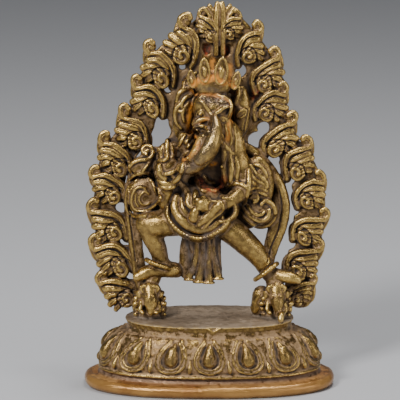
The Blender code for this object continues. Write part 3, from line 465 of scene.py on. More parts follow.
# Pockets that stop short of the back, some with old red paint in them.
POCKETS = (
    (-3, 267, 4.6, 5.4),
    (16.5, 266, 4.6, 6.0),
    (44, 223.5, 4.6, 5.4),
    (-85.5, 136, 5.0, 7.4),
    (-76, 166, 4.4, 5.4),
    (-12, 291, 4.4, 3.4),
)


def flame_frame(flame, side):
    """Turns the standard flame's own coordinates into the drawing's, and gives its size."""
    x, up, knob_x, knob_up = flame
    reach, rise = side * (knob_x - x), knob_up - up
    size = math.hypot(reach, rise) / math.hypot(*KNOB)
    swing = math.atan2(rise, reach) - math.atan2(KNOB[1], KNOB[0])
    c, s = math.cos(swing) * size, math.sin(swing) * size

    def place(a, h):
        across, along = x + side * (a * c - h * s), up + a * s + h * c
        stray = FLAME_DRIFT * math.sin(0.19 * along + 0.07 * across)
        return across + stray, along + FLAME_DRIFT * math.sin(0.21 * across - 0.05 * along)

    return place, size


def flame(wax, flame_row, side, doubled):
    """One tuft of flame: a ribbon that hooks at the tip, a fluted leaf under it and a curl at the root."""
    place, size = flame_frame(flame_row, side)

    def run(rows, flat=1.0, **options):
        wax.on_plate([(*place(a, h), out, r * size) for a, h, out, r in rows], flat, **options)

    # The leaf: a web at the back, and lobes that fan out from the curl.
    run([
        (-13, -3, -3, 6), (-7, 8, -3, 9), (3, 12, -3, 10), (12, 12, -3, 10), (20, 12, -3, 8),
        (25, 20, -4, 7),
    ], 0.4)
    for rows in LOBES:
        run([(a, h, out, r * 1.08) for a, h, out, r in rows], 0.8)
    # The ribbon and the knob it hooks round.
    edge = [(-13, -3), (-11, 7), (-4.6, 15), (4, 19.6), (13, 20.8), (20.4, 19), (25, 18.6)]
    rise = (1, 2, 3, 4, 4, 3, 2)
    hook = [(25, 18.6), (29, 21.6), (30, 27), (27, 31), (23, 30)]
    if doubled:
        run([(a, h, out, 2.4) for (a, h), out in zip(edge, rise)])
        run([(a * 0.86 - 1.4, h * 0.78 + 0.2, out + 0.4, 2.4) for (a, h), out in zip(edge[1:], rise[1:])])
    else:
        run([(a, h, out, 3.6) for (a, h), out in zip(edge, rise)])
    run([(a, h, 1.8, 3.3) for a, h in hook])
    run([(23.6, 25.4, -0.6, 5.0), (23.4, 26, -0.6, 4.8)], 0.9)
    # The curl: a ball, with a ridge that winds in over it.
    run([(-0.6, -0.6, 0, 8.4), (0.6, -0.6, 0, 8.4)], 0.6, sides=16)
    coil = []
    for k in range(10):
        a = math.radians(55 - 56 * k)
        reach = 9.4 - 0.78 * k
        coil.append((reach * math.cos(a), -0.6 + reach * math.sin(a), 1.6 + 0.4 * k, 3.1 - 0.05 * k))
    run(coil)


def flame_cuts(flame_row, side):
    """The grooves of one flame, as (depth in millimetres, rows of (x, height, half width))."""
    place, size = flame_frame(flame_row, side)

    def cut(depth, rows):
        return depth, [(*place(a, h), r * size) for a, h, r in rows]

    # Between the ribbon and the leaf, round the curl, and along the ribbon and its knob.
    cuts = [cut(0.6, [
        (-7.6, 4, 1.0), (-4, 10, 1.2), (3, 14.6, 1.3), (11, 16.6, 1.3), (19, 16, 1.2), (24, 14.6, 0.9),
    ])]
    cuts.append(cut(0.7, [
        (-8.6, 7, 1.1), (-3, 9.6, 1.3), (4, 8.8, 1.4), (9.6, 4.4, 1.4), (11, -2, 1.3), (8, -9, 1.1),
    ]))
    cuts.append(cut(0.3, [(-11, 3, 0.6), (-6.6, 12, 0.7), (3, 18.8, 0.8), (13, 20.4, 0.8), (20, 19.4, 0.6)]))
    cuts.append(cut(0.45, [(28.4, 22.8, 0.9), (28.8, 27, 1.0), (26, 29.4, 0.9)]))
    # The flutes of each lobe, and the valleys between the lobes.
    for rows in LOBES:
        for across, depth in ((-0.95, 0.5), (0.05, 0.22)):
            flute = []
            for k, (a, h, _, r) in enumerate(rows):
                before, after = rows[max(k - 1, 0)], rows[min(k + 1, len(rows) - 1)]
                run_a, run_h = after[0] - before[0], after[1] - before[1]
                length = math.hypot(run_a, run_h)
                flute.append((a - run_h / length * across * r, h + run_a / length * across * r, 0.85))
            cuts.append(cut(depth, flute))
    return cuts


def in_ellipse(x, up, row, grow=0.0):
    return ((x - row[0]) / (row[2] + grow)) ** 2 + ((up - row[1]) / (row[3] + grow)) ** 2 < 1


def plate_sheet(wax):
    """The plate that carries the flames: a sheet with ragged openings, thinner where there are pockets."""
    step, web, skirt, reach = 1.0, 2.4, 1.0, 15.5
    x, up = np.meshgrid(np.arange(-120, 120, step), np.arange(-2, 312, step), indexing="ij")
    inside = in_ellipse(x, up, (3, 204, 50, 84)) | in_ellipse(x, up, (0, 124, 78, 42))
    for flames in (FLAMES_LEFT, FLAMES_RIGHT):
        roots = np.array([(0.75 * a[0] + 0.25 * a[2], 0.75 * a[1] + 0.25 * a[3]) for a in flames])
        for px, pu in smooth_line(roots, 8):
            inside |= (x - px) ** 2 + (up - pu) ** 2 < reach**2
    ragged = 0.6 * np.sin(x * 1.3 + up * 0.9) + 0.5 * np.sin(up * 1.7 - x * 0.6)
    shell = inside.copy()
    for row in OPENINGS:
        shell &= ~in_ellipse(x + ragged, up - ragged, row, 0.6)
    deep = shell.copy()
    for row in POCKETS:
        deep &= ~in_ellipse(x + ragged, up, row)
    sheet(wax, x, up, shell, BACK - web, BACK, step)
    sheet(wax, x, up, deep, FRONT + skirt, BACK - skirt, step)


def sheet(wax, x, up, inside, near, far, step):
    """A slab over the cells of a grid that are inside, from depth near to depth far."""
    cells = np.argwhere(inside)
    number = np.full((inside.shape[0] + 1, inside.shape[1] + 1), -1)
    for di, dj in ((0, 0), (1, 0), (0, 1), (1, 1)):
        number[cells[:, 0] + di, cells[:, 1] + dj] = 0
    corners = np.argwhere(number == 0)
    number[corners[:, 0], corners[:, 1]] = np.arange(len(corners))
    points = []
    for y in (near, far):
        for i, j in corners:
            points.append(at(x[0, 0] + (i - 0.5) * step, up[0, 0] + (j - 0.5) * step, y))
    count = len(corners)
    i, j = cells[:, 0], cells[:, 1]
    a, b, c, d = number[i, j], number[i + 1, j], number[i + 1, j + 1], number[i, j + 1]
    faces = [np.stack([a, b, c, d], 1), np.stack([d, c, b, a], 1) + count]
    padded = np.pad(inside, 1)
    for di, dj, p, q in ((-1, 0, d, a), (1, 0, b, c), (0, -1, a, b), (0, 1, c, d)):
        rim = ~padded[i + 1 + di, j + 1 + dj]
        faces.append(np.stack([p[rim], p[rim] + count, q[rim] + count, q[rim]], 1))
    wax.add(points, np.vstack(faces).tolist())


def aureole(wax):
    for side, flames in ((-1, FLAMES_LEFT), (1, FLAMES_RIGHT)):
        for k, row in enumerate(flames):
            flame(wax, row, side, side < 0 and k in (4, 5, 7, 8))
    # The bud at the tip: two rolls side by side, and two leaves on each side of them.
    for x in (6.6, 13.4):
        wax.on_plate([(x, 262, 1, 2.6), (x, 280, 3, 3), (x, 300, 3.4, 3), (x * 0.7 + 3, 311, 2, 2.5)])
    for side in (-1, 1):
        for reach, top in ((14, 306), (10, 309)):
            leaf = ((reach, 0, 1, 2.2), (reach - 4.6, 7, 2, 2.4), (6, 15, 2, 2.2))
            wax.on_plate([(10 + side * a, top - drop, out, r) for a, drop, out, r in leaf])


# The rails that frame the figure, the stems beside both shins and those beside the head, as rows of
# (x, up, out of the plate, radius).
RAILS = (
    (
        (26, 173, 4, 5), (40, 168, 4, 5.2), (52, 158, 3, 5.4), (63, 145, 3, 5.6), (72, 128, 3, 5.6),
        (76, 110, 3, 5.6), (73, 90, 3, 5.4), (66, 72, 4, 5.2), (61, 54, 5, 5), (62, 30, 7, 5),
        (66, 6, 8, 6),
    ),
    (
        (-34, 172, 2, 4.0), (-55, 165, 2, 4.0), (-72, 152, 2, 4.0), (-80, 134, 2, 4.2), (-82, 110, 2, 4.2),
        (-79, 84, 2, 4.4), (-76, 62, 3, 4.4), (-73, 40, 5, 4.4), (-66, 20, 7, 5), (-64, 2, 8, 6),
    ),
    ((66, 122, 2, 3.5), (66, 100, 3, 4.4), (62, 84, 3, 4.8), (54, 52, 5, 4)),
    ((-74, 100, 2, 3.4), (-71, 82, 2, 3.6), (-69, 64, 3, 3.4), (-66, 46, 4, 3.2)),
    ((30, 173, 1, 3.2), (33, 190, 1, 3), (42, 218, 1, 2.6)),
    ((37, 183, 0, 2.4), (43, 200, 0, 2.6), (50, 216, 0, 2.6), (60, 221, 0, 2.4), (74, 222, 0, 2.2)),
    ((50, 160, 0, 2.6), (54, 172, 0, 3), (62, 181, 0, 3), (73, 181, 0, 2.6)),
    ((-44, 172, 0, 2.4), (-46, 160, 0, 2.8), (-36, 152, 0, 2.8)),
)


def rails(wax):
    for rows in RAILS:
        wax.on_plate(rows)


# Figure


def body_masses(wax):
    """The large forms, melted together more softly than the ornament on them."""
    wax.boss((-10, 107, -7), (30, 19, 27))
    # The breast lies deep between the shoulders, under the trunk.
    wax.boss((2, 143, 9), (24, 8, 26))
    wax.strand([(-30, 152, -2, 9), (-20, 150, -1, 9.6), (-13, 146, 4, 7)])
    wax.strand([(30, 156, -4, 10), (21, 152, -2, 9.6), (15, 147, 4, 7)])
    wax.strand([(2, 160, 5, 12), (3, 180, 0, 13)])
    # Head, cheeks and the double dome of the forehead.
    wax.boss((3.4, 206, -8), (20, 14, 18))
    wax.boss((-5, 211, -11), (11, 10, 11))
    wax.boss((12, 211, -11), (11, 10, 11))
    wax.boss((-8, 193, -12), (10, 8, 9))
    wax.boss((13, 190, -12), (9, 8, 11))
    wax.strand([(16, 186, -10, 6), (16, 172, -9, 7), (14, 160, -6, 7)])
    # Trunk, swung to the bowl.
    wax.strand(
        [
            (3, 200, -20, 4.4),
            (4.4, 190, -24, 7.6),
            (2.8, 178.4, -28, 10.4),
            (-1.4, 168, -30, 10.8),
            (-7.4, 158.6, -31, 9.8),
            (-14.2, 151.8, -30, 8.6),
            (-21, 148.2, -29, 7.2),
            (-26.4, 148, -27, 5.4),
        ]
    )
    # The arm that rests on the belly.
    wax.strand([(26, 158, -3, 9.5), (33, 147, -6, 9.2), (37, 135, -9, 8.8)])
    wax.strand([(37, 132, -11, 8.8), (28, 122, -16, 8), (16, 114, -20, 7), (8, 112, -22, 6)])
    # The arm that lifts the bowl.
    wax.strand([(-24, 150, -3, 9), (-33, 130, -6, 8), (-44, 117, -9, 7.6)])
    wax.strand([(-44, 114, -10, 7.6), (-44, 122, -14, 7.6), (-42, 132, -17, 7.6)])
    wax.boss((-41, 146, -17), (12, 7, 15))
    # Bent leg and its foot.
    wax.strand([(-18, 95, -6, 14), (-40, 94, -8, 14), (-54, 93, -8, 13.5), (-62, 93, -7, 12.2)])
    wax.strand([(-61, 92, -7, 12), (-56, 78, -5, 10.8), (-51, 66, -3, 9.2), (-49, 55, -1, 8.4)])
    wax.strand([
        (-33, 46, 2, 8), (-38, 47, -1, 8.6), (-50, 47, -3, 8.2), (-62, 45, -6, 7.2), (-72, 40, -9, 5.6),
    ])
    # Straight leg and its foot.
    wax.strand([
        (12, 93, -6, 14), (26, 83, -7, 13.4), (38, 72, -6, 12.4), (47, 63, -4, 11.2), (54, 53, -2, 9.4),
        (58, 46, -1, 8.6),
    ])
    wax.strand([(60, 42, 0, 8), (70, 41, -4, 7.4), (81, 39, -8, 6.4), (88, 37, -9, 5)])
    # Grounds for the scarf and its coils.
    wax.boss((-65, 119, 3), (18, 6, 21))
    wax.boss((-68, 151, 2), (12, 5, 10))
    wax.boss((48, 132, 2), (17, 8, 30))
    wax.boss((49, 106, 0), (17, 7, 15))
    # Grounds for the ears, the shoulder cloth and the ribbons at the temples.
    wax.boss((-22, 169, -7), (9, 5, 17), lean=-0.35)
    wax.boss((22, 172, -5), (14, 9, 26), lean=-0.2)
    wax.boss((25, 148, -6), (14, 10, 20))
    wax.boss((-26, 206, 6), (11, 7, 30), lean=0.15)
    wax.boss((32, 206, 8), (9, 7, 26))
    wax.boss((-62, 164, 4), (7, 5, 8))
    wax.boss((-42, 162, -9), (10, 5, 14))
    wax.boss((-54, 158, 6), (8, 4, 14))


def rats(wax):
    """The two rats under the soles, snouts to the front and down, and the rough wax that steadies them."""
    for x, up, tail in ((-60, 24, 0), (67, 24, 1)):
        wax.boss((x, up, -3), (12, 14, 11))
        wax.strand([(x, up + 4, -8, 8.6), (x + 1, up - 8, -14, 7.4), (x + 2, up - 19, -17 - tail, 4.4)])
        wax.strand([(x - 1, up + 8, -2, 9), (x + 4 - 8 * tail, up + 16, -2, 8)])
        for side in (-1, 1):
            wax.boss((x + side * 9.5, up - 2, -9), (4.2, 3.6, 5.2), lean=side * 0.3)
            # Ear, eye and foreleg, and lumps of rough wax beside them.
            ear = ((5, 7, -14, 1.8), (8, 5, -13, 2.4), (7, 1, -14, 1.6))
            leg = ((8, -10, -12, 3), (9, -17, -15, 2.6), (7, -20, -19, 2.2))
            wax.strand([(x + side * a, up + h, y, r) for a, h, y, r in ear])
            wax.boss((x + side * 4, up - 3, -20), (1.4, 1.2, 1.4))
            wax.strand([(x + side * a, up + h, y, r) for a, h, y, r in leg])
            for k in range(5):
                out, depth = 13 + 1.5 * math.sin(2.1 * k + x), -7 + 3.2 * math.cos(1.7 * k + side)
                wax.boss((x + side * out, 2 + 5.4 * k, depth), (3.4, 3.2, 2.8))
        wax.boss((x, 3, 3), (15, 15, 8))
        wax.boss((x - 9, 10, 6), (9, 9, 14))
        wax.boss((x + 8, 8, 7), (9, 9, 11))
    # The tail of the rat on the right hangs over the plate's edge, and its rock reaches up to the heel.
    wax.strand([(71, 4, -18, 4.2), (71, 1, -26, 3.4), (71, -3, -29, 2.6)])
    wax.strand([(52, 22, 2, 9), (49, 8, 2, 8)])


SASH_FOLDS = (
    [(-12, 82, -9, 2.6), (-13, 64, -9, 3.0), (-16, 50, -8, 3.8), (-20.5, 40, -7, 4.0)],
    [(-6.4, 82, -10, 2.4), (-6.6, 64, -10, 2.8), (-8, 50, -9, 3.6), (-10.6, 37.6, -8, 4.4)],
    [(-1, 82, -10, 2.4), (-0.6, 64, -10, 2.6), (-1, 50, -9, 3.4), (-0.6, 37, -8, 4.4)],
    [(4, 82, -9, 2.2), (4.4, 66, -9, 2.6), (6.6, 52, -8, 3.4), (9, 41, -7, 4.2)],
)


def sash(wax):
    """The cloth that hangs between the legs: tubular folds with a flared hem, over a back cloth with painted
    shade.
    """
    wax.strand([(-20, 84, 2, 7), (-23, 62, 2, 7.6), (-23, 44, 2, 7)], 0.6)
    wax.strand([(-14, 84, -4, 9), (-8, 60, -4, 11), (-6, 46, -4, 11)], 0.45)
    wax.strand([(6, 84, -4, 6), (4, 60, -4, 8), (6, 46, -4, 7)], 0.45)
    for rows in SASH_FOLDS:
        wax.strand(rows)
        # The flared mouth at each fold's end.
        x, up, y, r = rows[-1]
        for angle in range(0, 360, 45):
            turns = math.radians(angle), math.radians(angle + 45)
            wax.strand([(x + math.cos(a) * r * 1.15, up - 3, y + math.sin(a) * r, 1.3) for a in turns])


# The beaded hem round the belly, and the girdle's loop over the hip: x, height and depth.
HEM = (
    (-40, 116, -12), (-41.6, 109, -15), (-41.6, 102, -18), (-39, 96, -20), (-34, 90, -22),
    (-27, 84.4, -24), (-19, 80.6, -25), (-10, 79, -25.5), (-1, 81, -25.5), (7, 85, -25), (14, 90, -24),
    (17.4, 95, -23),
)
GIRDLE_LOOP = (
    (13, 119, -23), (20, 117, -22), (25, 112, -20.5), (25.6, 105, -20.5), (22, 99.6, -21.5), (16, 96, -23),
    (10.6, 95.4, -24.5),
)


def drapery(wax):
    """Hem, girdle, the cloth over the belly and what the hands hold."""
    for line, thick in ((HEM, 2.8), (GIRDLE_LOOP, 2.3)):
        wax.strand([(x, up, y + 5, thick * 1.6) for x, up, y in line], 1.4)
        wax.strand([(x, up, y, thick) for x, up, y in line])
        wax.beads([(x, up, y - 0.8 * thick) for x, up, y in line], 0.62 * thick, 1.25 * thick)
    # The golden roll of cloth, and the thin lip that doubles back over it.
    wax.laid_all((
        ([
            (-33, 120, 4), (-34.6, 112, 4.6), (-32, 104, 5.2), (-26.4, 97, 5.6), (-19, 91, 5.4),
            (-10, 88, 5), (0, 89.4, 4.6), (8, 95, 4), (11.6, 100, 3.6),
        ], 0.6),
        ([
            (-18, 91, 1.3), (-13, 87.6, 1.7), (-7, 88.4, 1.8), (-2, 93, 1.8), (3, 98.6, 1.8),
            (9, 103, 1.8), (13, 107, 1.8), (12.6, 112, 1.8), (9, 115, 1.7), (3, 116, 1.4),
        ], 3.2),
        ([(-10, 94, 4), (-3, 99.4, 5), (4, 107, 5.4), (10, 112, 5)], 0.5),
        # Folds between the roll and the hand.
        ([(-28, 118, 2.2), (-26.6, 110, 2.8), (-23.4, 104, 2.8), (-19.4, 99.4, 2.2)], 0.5),
        ([(-22.6, 121, 2.2), (-21, 113, 2.8), (-16.6, 108.4, 2.6)], 0.7),
        ([(-30, 134, 3), (-24.4, 128, 3.6), (-21, 122, 3.4), (-19, 116, 2.8)], 0.3),
        ([(-14, 125, 3), (-14, 118, 3.6), (-15.4, 112, 3)], 0.6),
        # The hand that rests on the belly, and the square sweet in it.
        ([(-14, 106, 4.6), (-16, 99, 5)], 0.7),
        ([(-19, 95.4, 2.2), (-14, 98.4, 2.8), (-9, 100, 2.2)], 1.2),
        ([(-7.4, 113.4, 7.4), (-6.4, 113.4, 7.4)], 0.45),
    ))
    corners = ((-12, 117.4), (-6, 119.6), (-1, 115.4), (-3.4, 108.6), (-10.6, 109), (-12, 117.4))
    wax.laid([(x, up, 1.7) for x, up in corners], 3.6, steps=3)
    for x, up in corners[:-1]:
        wax.laid([(x - 0.3, up, 2.2), (x + 0.3, up, 2.2)], 2.8)
    wax.laid([(-1.4, 119, 1.8), (0.8, 115, 2.2), (0, 110.4, 1.8)], 2.2)
    wax.laid([(-7, 106.4, 1.7), (-2, 107.6, 2.0), (3, 106.4, 1.7)], 2.4)
    raised_hand(wax)
    left_scarf(wax)
    right_scarf(wax)
    # The cloth on the shoulder: low ragged folds from the throat to the elbow, pressed close together.
    wax.laid_all((
        ([(12.6, 172, 2.4), (14.6, 162, 3.2), (14, 151, 3.4), (15.4, 140, 3.0), (17, 131, 2.2)], -0.3),
        ([(19.6, 167, 2.4), (20.4, 157, 3.2), (21.6, 147, 3.4), (21, 137, 3.0), (21.6, 131, 2)], -0.2),
        ([(26, 158, 2.2), (27.6, 150, 3.0), (27.2, 141, 2.8), (28, 133, 2)], -0.3),
        ([(16, 129.6, 1.8), (22.4, 132.6, 2.4), (29.6, 133, 2.5), (36.6, 129.6, 2)], 0.4),
    ))
    # The ragged rim round the hollow of the breast, and beads in it.
    rim = [(12, 150), (14.4, 144), (13, 138), (13.6, 132), (9, 129), (5, 125.6), (-1, 127.4), (-6, 125.8)]
    rim += [(-11, 130.6), (-12.4, 135), (-15, 139)]
    wax.laid([(x, up, (1.6, 2.8)[k % 2]) for k, (x, up) in enumerate(rim)], 0.1)
    wax.strand([(3, 152.4, -14, 2.2), (5, 152.4, -14, 2.2)])
    wax.strand([(4, 148, -12, 2.2), (6.4, 147.6, -12, 2.0)])
    wax.strand([(-5, 140, 0, 2.4), (-1, 135, -2, 2.6), (4, 134, -2, 2.2)])


def raised_hand(wax):
    """The bowl lifted to the trunk: its cupped rims and the fingers over it."""
    wax.laid_all((
        ([
            (-53.4, 155, 2.0), (-53.6, 147, 2.4), (-51.6, 139.4, 2.6), (-47, 134.6, 2.6), (-41, 133, 2.6),
            (-35, 135, 2.6), (-30, 140, 2.6), (-27, 147, 2.4), (-26, 157, 1.9),
        ], 0.7),
        ([
            (-53.6, 138, 1.4), (-51, 133.6, 1.8), (-46.4, 130, 2.0), (-41, 128.8, 2.1), (-35, 130.4, 2.0),
            (-29.6, 135, 1.7),
        ], 0.9),
        ([(-30.4, 157, 1.6), (-31, 151, 2.1), (-34, 146, 2.3), (-39, 143.4, 2.3), (-44, 142.6, 1.8)], 1.2),
        ([(-49.4, 150, 3.2), (-48.4, 143, 3.6), (-44.6, 138.6, 3.2)], 0.2),
        ([(-36, 140.6, 2.6), (-32, 144.6, 2.4), (-29, 150, 2)], 0.2),
        ([(-53, 154.6, 1.7), (-49, 156.2, 2.0), (-45, 156, 1.9), (-41.6, 158, 1.5)], 1.1),
        ([(-51.8, 157, 1.7), (-51.6, 163, 1.9), (-50.2, 167, 1.4)], 0.6),
        ([(-47.6, 159, 2.3), (-47.2, 166, 2.5), (-45.8, 171, 1.7)], 0.3),
        ([(-42.2, 158, 2.6), (-42, 168, 2.7), (-42, 174, 2.3)], 0.9),
        ([(-42.4, 175.4, 2.5), (-41.8, 176.4, 2.5)], 1.2),
        ([(-37, 159, 2.2), (-36.8, 166, 2.5), (-38, 172, 1.6)], 0.3),
    ))


def left_scarf(wax):
    """The scarf's coil behind the raised arm, and the curled end above it."""
    wax.laid_all((
        ([
            (-80, 137, 1.4), (-75, 141.6, 1.9), (-67, 144, 2.1), (-60, 143.4, 2.2), (-54, 138.6, 2.2),
            (-50.6, 130, 2.1), (-48.6, 119, 1.8),
        ], 0.4),
        ([
            (-74, 137.4, 1.4), (-66, 139.4, 1.8), (-59.4, 137, 1.9), (-55.4, 130.6, 1.8),
            (-53.4, 123, 1.5),
        ], 0.3),
        ([
            (-70, 138, 1.4), (-77, 133.4, 1.8), (-81.5, 127, 2.1), (-83.2, 118, 2.2), (-82.8, 109, 2.2),
            (-79.4, 103.4, 2.2), (-73, 100.5, 2.1), (-64, 101, 1.9),
        ], 0.8),
        ([
            (-62.4, 125.4, 1.2), (-66, 129.4, 1.4), (-72, 129, 1.5), (-76.6, 123.4, 1.5),
            (-77.8, 115, 1.5), (-75.6, 109, 1.5), (-70, 106, 1.6), (-62, 106.5, 1.6), (-55, 111, 1.6),
            (-49.6, 116.6, 1.4),
        ], 0.6),
        ([
            (-60, 123, 1.1), (-65, 125, 1.3), (-69.4, 121, 1.3), (-69.6, 115.6, 1.3), (-65.4, 112, 1.3),
            (-60, 113.4, 1.1),
        ], 0.4),
        ([(-73, 124, 1.0), (-74, 116, 1.1), (-71.4, 110.6, 1.0)], 0.3),
        ([
            (-62.6, 162.4, 1.6), (-66.4, 164.8, 1.8), (-66, 168.6, 2.0), (-62.4, 171, 2.0),
            (-58, 169.6, 2.1), (-56.2, 165, 2.2), (-58, 159.8, 2.2), (-63, 157.2, 2.1), (-70, 156.4, 2.0),
            (-76.6, 153.4, 2.0), (-79.6, 148.8, 2.0), (-76.8, 142.6, 2.0), (-71.5, 138, 1.7),
        ], 1.0),
        ([(-62.4, 165.6, 2.2), (-61.6, 165.6, 2.2)], 0.6),
        ([(-57.4, 160, 1.5), (-60.6, 153, 1.7), (-66, 146, 1.7), (-71, 139, 1.4)], 0.7),
    ))


def right_scarf(wax):
    """The scarf's folds behind the other arm, down to the large coil round its dark eye."""
    wax.laid_all((
        ([
            (29, 109.4, 2.2), (34.4, 101.4, 2.7), (41.6, 94.4, 2.9), (50, 90.6, 3.0), (58.6, 92.4, 3.0),
            (64.2, 99, 3.0), (65, 107, 3.0), (61, 114, 2.8), (55, 116, 2.4), (51.6, 112.6, 2.0),
        ], 0.5),
        ([
            (33.6, 110, 1.9), (38, 103.4, 2.4), (44.6, 98, 2.6), (52, 96.4, 2.6), (58, 100, 2.6),
            (59.6, 106.6, 2.2),
        ], 0.5),
        ([(38, 111.6, 1.7), (41.6, 106, 2.2), (46.6, 102.4, 2.3), (52, 102.6, 2.0), (54.6, 105.6, 1.6)], 0.5),
        ([
            (41, 118.6, 1.6), (43.4, 121.6, 1.9), (47.6, 120.6, 1.9), (48, 116.4, 1.9), (44.4, 114.6, 1.7),
        ], 0.7),
        ([(43.6, 118.4, 2.4), (45.4, 117.6, 2.4)], 0.5),
        ([(40, 123.4, 1.5), (44, 125.6, 1.8), (50, 124.6, 1.9), (56.4, 121.6, 1.6)], 0.6),
        ([(40, 127.4, 1.4), (45, 129, 1.8), (51, 129, 1.8), (57, 125.6, 1.4)], 0.6),
        ([
            (41, 151, 1.8), (43.6, 146, 2.4), (46.6, 142.4, 2.5), (52, 139.4, 2.5), (56.4, 134.6, 2.2),
            (57.6, 129.6, 1.6),
        ], 0.6),
        ([(40, 145, 1.7), (42.4, 140, 2.2), (47, 136, 2.4), (53, 133.4, 2.2), (56.4, 130, 1.6)], 0.5),
        ([(39.4, 138, 1.6), (43, 134, 2.1), (48, 131.4, 2.1), (53, 130.4, 1.6)], 0.4),
        ([(45, 152, 1.7), (50, 150.4, 2.2), (54.4, 146, 2.3), (57, 140, 1.9)], 0.6),
        ([(49, 145.6, 1.6), (52.6, 143.6, 1.9), (55, 139.6, 1.5)], 0.3),
        ([(38.6, 146, 2.2), (39, 136, 2.6), (37.6, 124, 2.4), (34.6, 113, 2.2)], 0.5),
    ))


# Leaves of the crown: x, height, half width, half height and depth.
CROWN_LEAVES = (
    (-17.5, 236, 4.4, 9, -10),
    (-5, 244, 5.6, 12.5, -15),
    (11.6, 243.4, 7.0, 14, -16),
    (26, 234.5, 4.4, 9, -9),
)


def head_ornament(wax):
    """Crown, brows, eyes, trunk, ears and the ribbons beside the head."""
    wax.boss((3, 232, -6), (19, 12, 15))
    # The crown's band, and the rim of the headcloth under it.
    wax.laid([(-12, 226.6, 1.6), (-8, 228.4, 2.1), (2, 227, 2.2), (12, 224, 2.2), (21, 220.6, 1.7)], 1.5)
    wax.laid([
        (-16.6, 211, 1.2), (-15.4, 218, 1.5), (-10, 222.4, 1.7), (0, 222.6, 1.7), (10, 219.6, 1.7),
        (18, 216, 1.7), (21.6, 210, 1.6), (19.6, 202, 1.5), (16, 196, 1.2),
    ], 0.7)
    for row in CROWN_LEAVES:
        crown_leaf(wax, *row)
    # Wrinkles of the forehead, and the two brows under them.
    wax.laid([(-11, 215, 1.0), (-8, 219, 1.4), (-4, 218.4, 1.2)], 0.6)
    wax.laid([(0, 219, 1.0), (2, 216, 1.3), (4, 214.6, 1.0)], 0.6)
    for k in range(3):
        rise = 1.9 * k
        wax.laid([
            (8.6 + 1.2 * k, 214 + rise, 0.8), (12.4 + 0.9 * k, 212.4 + rise, 1.1),
            (16.4, 213 + 2 * k, 0.8),
        ], 0.6)
    wax.laid([(-10, 215, 1.2), (-6, 212, 1.6), (-2.4, 207, 1.8), (1.6, 201, 1.6)], 0.5)
    wax.laid([(20.6, 209.4, 1.4), (14, 207.4, 2.0), (8, 203.4, 2.2), (3.6, 200, 1.5)], 0.7)
    # Eyes with their lids.
    for x, up in ((-9.2, 201.6), (13, 195.4)):
        wax.laid([(x - 0.5, up, 1.7), (x + 0.5, up, 1.7)], 0.9)
        lid = ((-4, -1.4, 0.8), (-2.6, 1.8, 1.0), (0, 3.2, 1.1), (2.8, 1.8, 1.0), (4.2, -1.2, 0.8))
        wax.laid([(x + across, up + rise, r) for across, rise, r in lid], 0.8)
    # The trunk's broad flat face, and the fuller side of it under the cheek.
    wax.laid_all((
        ([(5, 197, 4), (6, 188, 6), (4, 176, 7.6), (-2, 165, 8), (-9, 157, 7)], 0.1),
        ([(-6, 186, 2.4), (-9, 176, 4), (-13, 166, 5), (-17, 158, 4.6)], 0.1),
        # The roll under the eye, the root of the tusk and the lips.
        ([(-16, 192, 2.0), (-11, 195, 2.8), (-6, 196.6, 2.6), (-1.6, 196.4, 1.6)], 0.7),
        ([(-17.4, 185, 1.2), (-14, 189.4, 1.7), (-9, 190, 2.0), (-4, 188.4, 2.2), (-1, 184, 1.6)], 0.7),
        ([(-13, 186.4, 1.2), (-9, 184, 1.6), (-6.4, 180, 1.4)], 0.7),
        # Ears with their rolled edges.
        ([
            (-16.4, 186, 2.1), (-12.6, 182, 2.6), (-11, 176, 2.9), (-12.4, 169, 2.9), (-16.4, 162, 2.9),
            (-22, 156.6, 2.6), (-26, 153.4, 2.1),
        ], 0.8),
    ))
    wax.laid_each((
        [(-17, 183.6, 1.7), (-20, 178, 2.1), (-24, 172.6, 1.7)],
        [(-14.6, 180, 1.6), (-18, 173.4, 2), (-22.4, 168.4, 1.6)],
        [(-24.4, 181, 1.6), (-27.4, 176, 2), (-30, 170.6, 1.6)],
        [(-21, 165, 1.6), (-25.6, 161, 1.8), (-29, 158.4, 1.4)],
    ), 0.3)
    wax.laid_each((
        [(16, 200, 1.7), (19, 194, 2), (20, 187, 1.6)],
        [(14.6, 191, 1.6), (16.6, 184, 2.1), (16, 177, 1.6)],
        [(20, 185, 1.6), (21.4, 177, 2), (19.6, 170, 1.6)],
        [(12, 181, 1.6), (14, 174, 2.2), (18.6, 166.6, 2.1), (23, 163, 1.6)],
        [(24.6, 188, 1.6), (25.6, 178, 2), (26, 166, 1.6)],
        [(11.6, 174, 1.6), (12.6, 166, 2), (13, 158, 1.6)],
    ), -0.45)
    # Locks and ribbons at the temples.
    wax.laid_each((
        [(-14, 243, 2), (-20, 240, 2.5), (-25, 234, 2.5), (-26, 228, 2)],
        [(-20, 228, 2), (-26, 226, 2.6), (-31, 221, 2.6), (-32, 215, 2)],
        [(-18, 221, 1.8), (-23, 219, 2.3), (-27, 214, 2.3), (-27, 209, 1.8)],
        [(-29, 212, 2), (-33, 207, 2.6), (-34, 200, 2.6), (-32, 193, 2.1), (-28, 188, 1.8)],
        [(-21, 213, 1.7), (-25, 207, 2.1), (-26.4, 201, 2.1), (-25, 195, 1.7)],
        [(-30, 205, 1.7), (-26, 204.4, 2), (-23, 206, 1.6)],
        [(29, 228, 2), (28, 220, 2.3), (26, 212, 1.8)],
    ), 0.3)
    # The fluted leaf stuck to the plate beside the face.
    wax.laid([
        (27, 202, 1.1), (30.6, 205.4, 1.4), (35.6, 206.6, 1.2), (36.6, 203.4, 1.2), (33.4, 200, 1.3),
        (28.4, 198.4, 1.1), (27, 202, 1.1),
    ], 0.8)
    wax.laid([(29, 201, 1.0), (34.6, 204, 1.0)], 1.0)


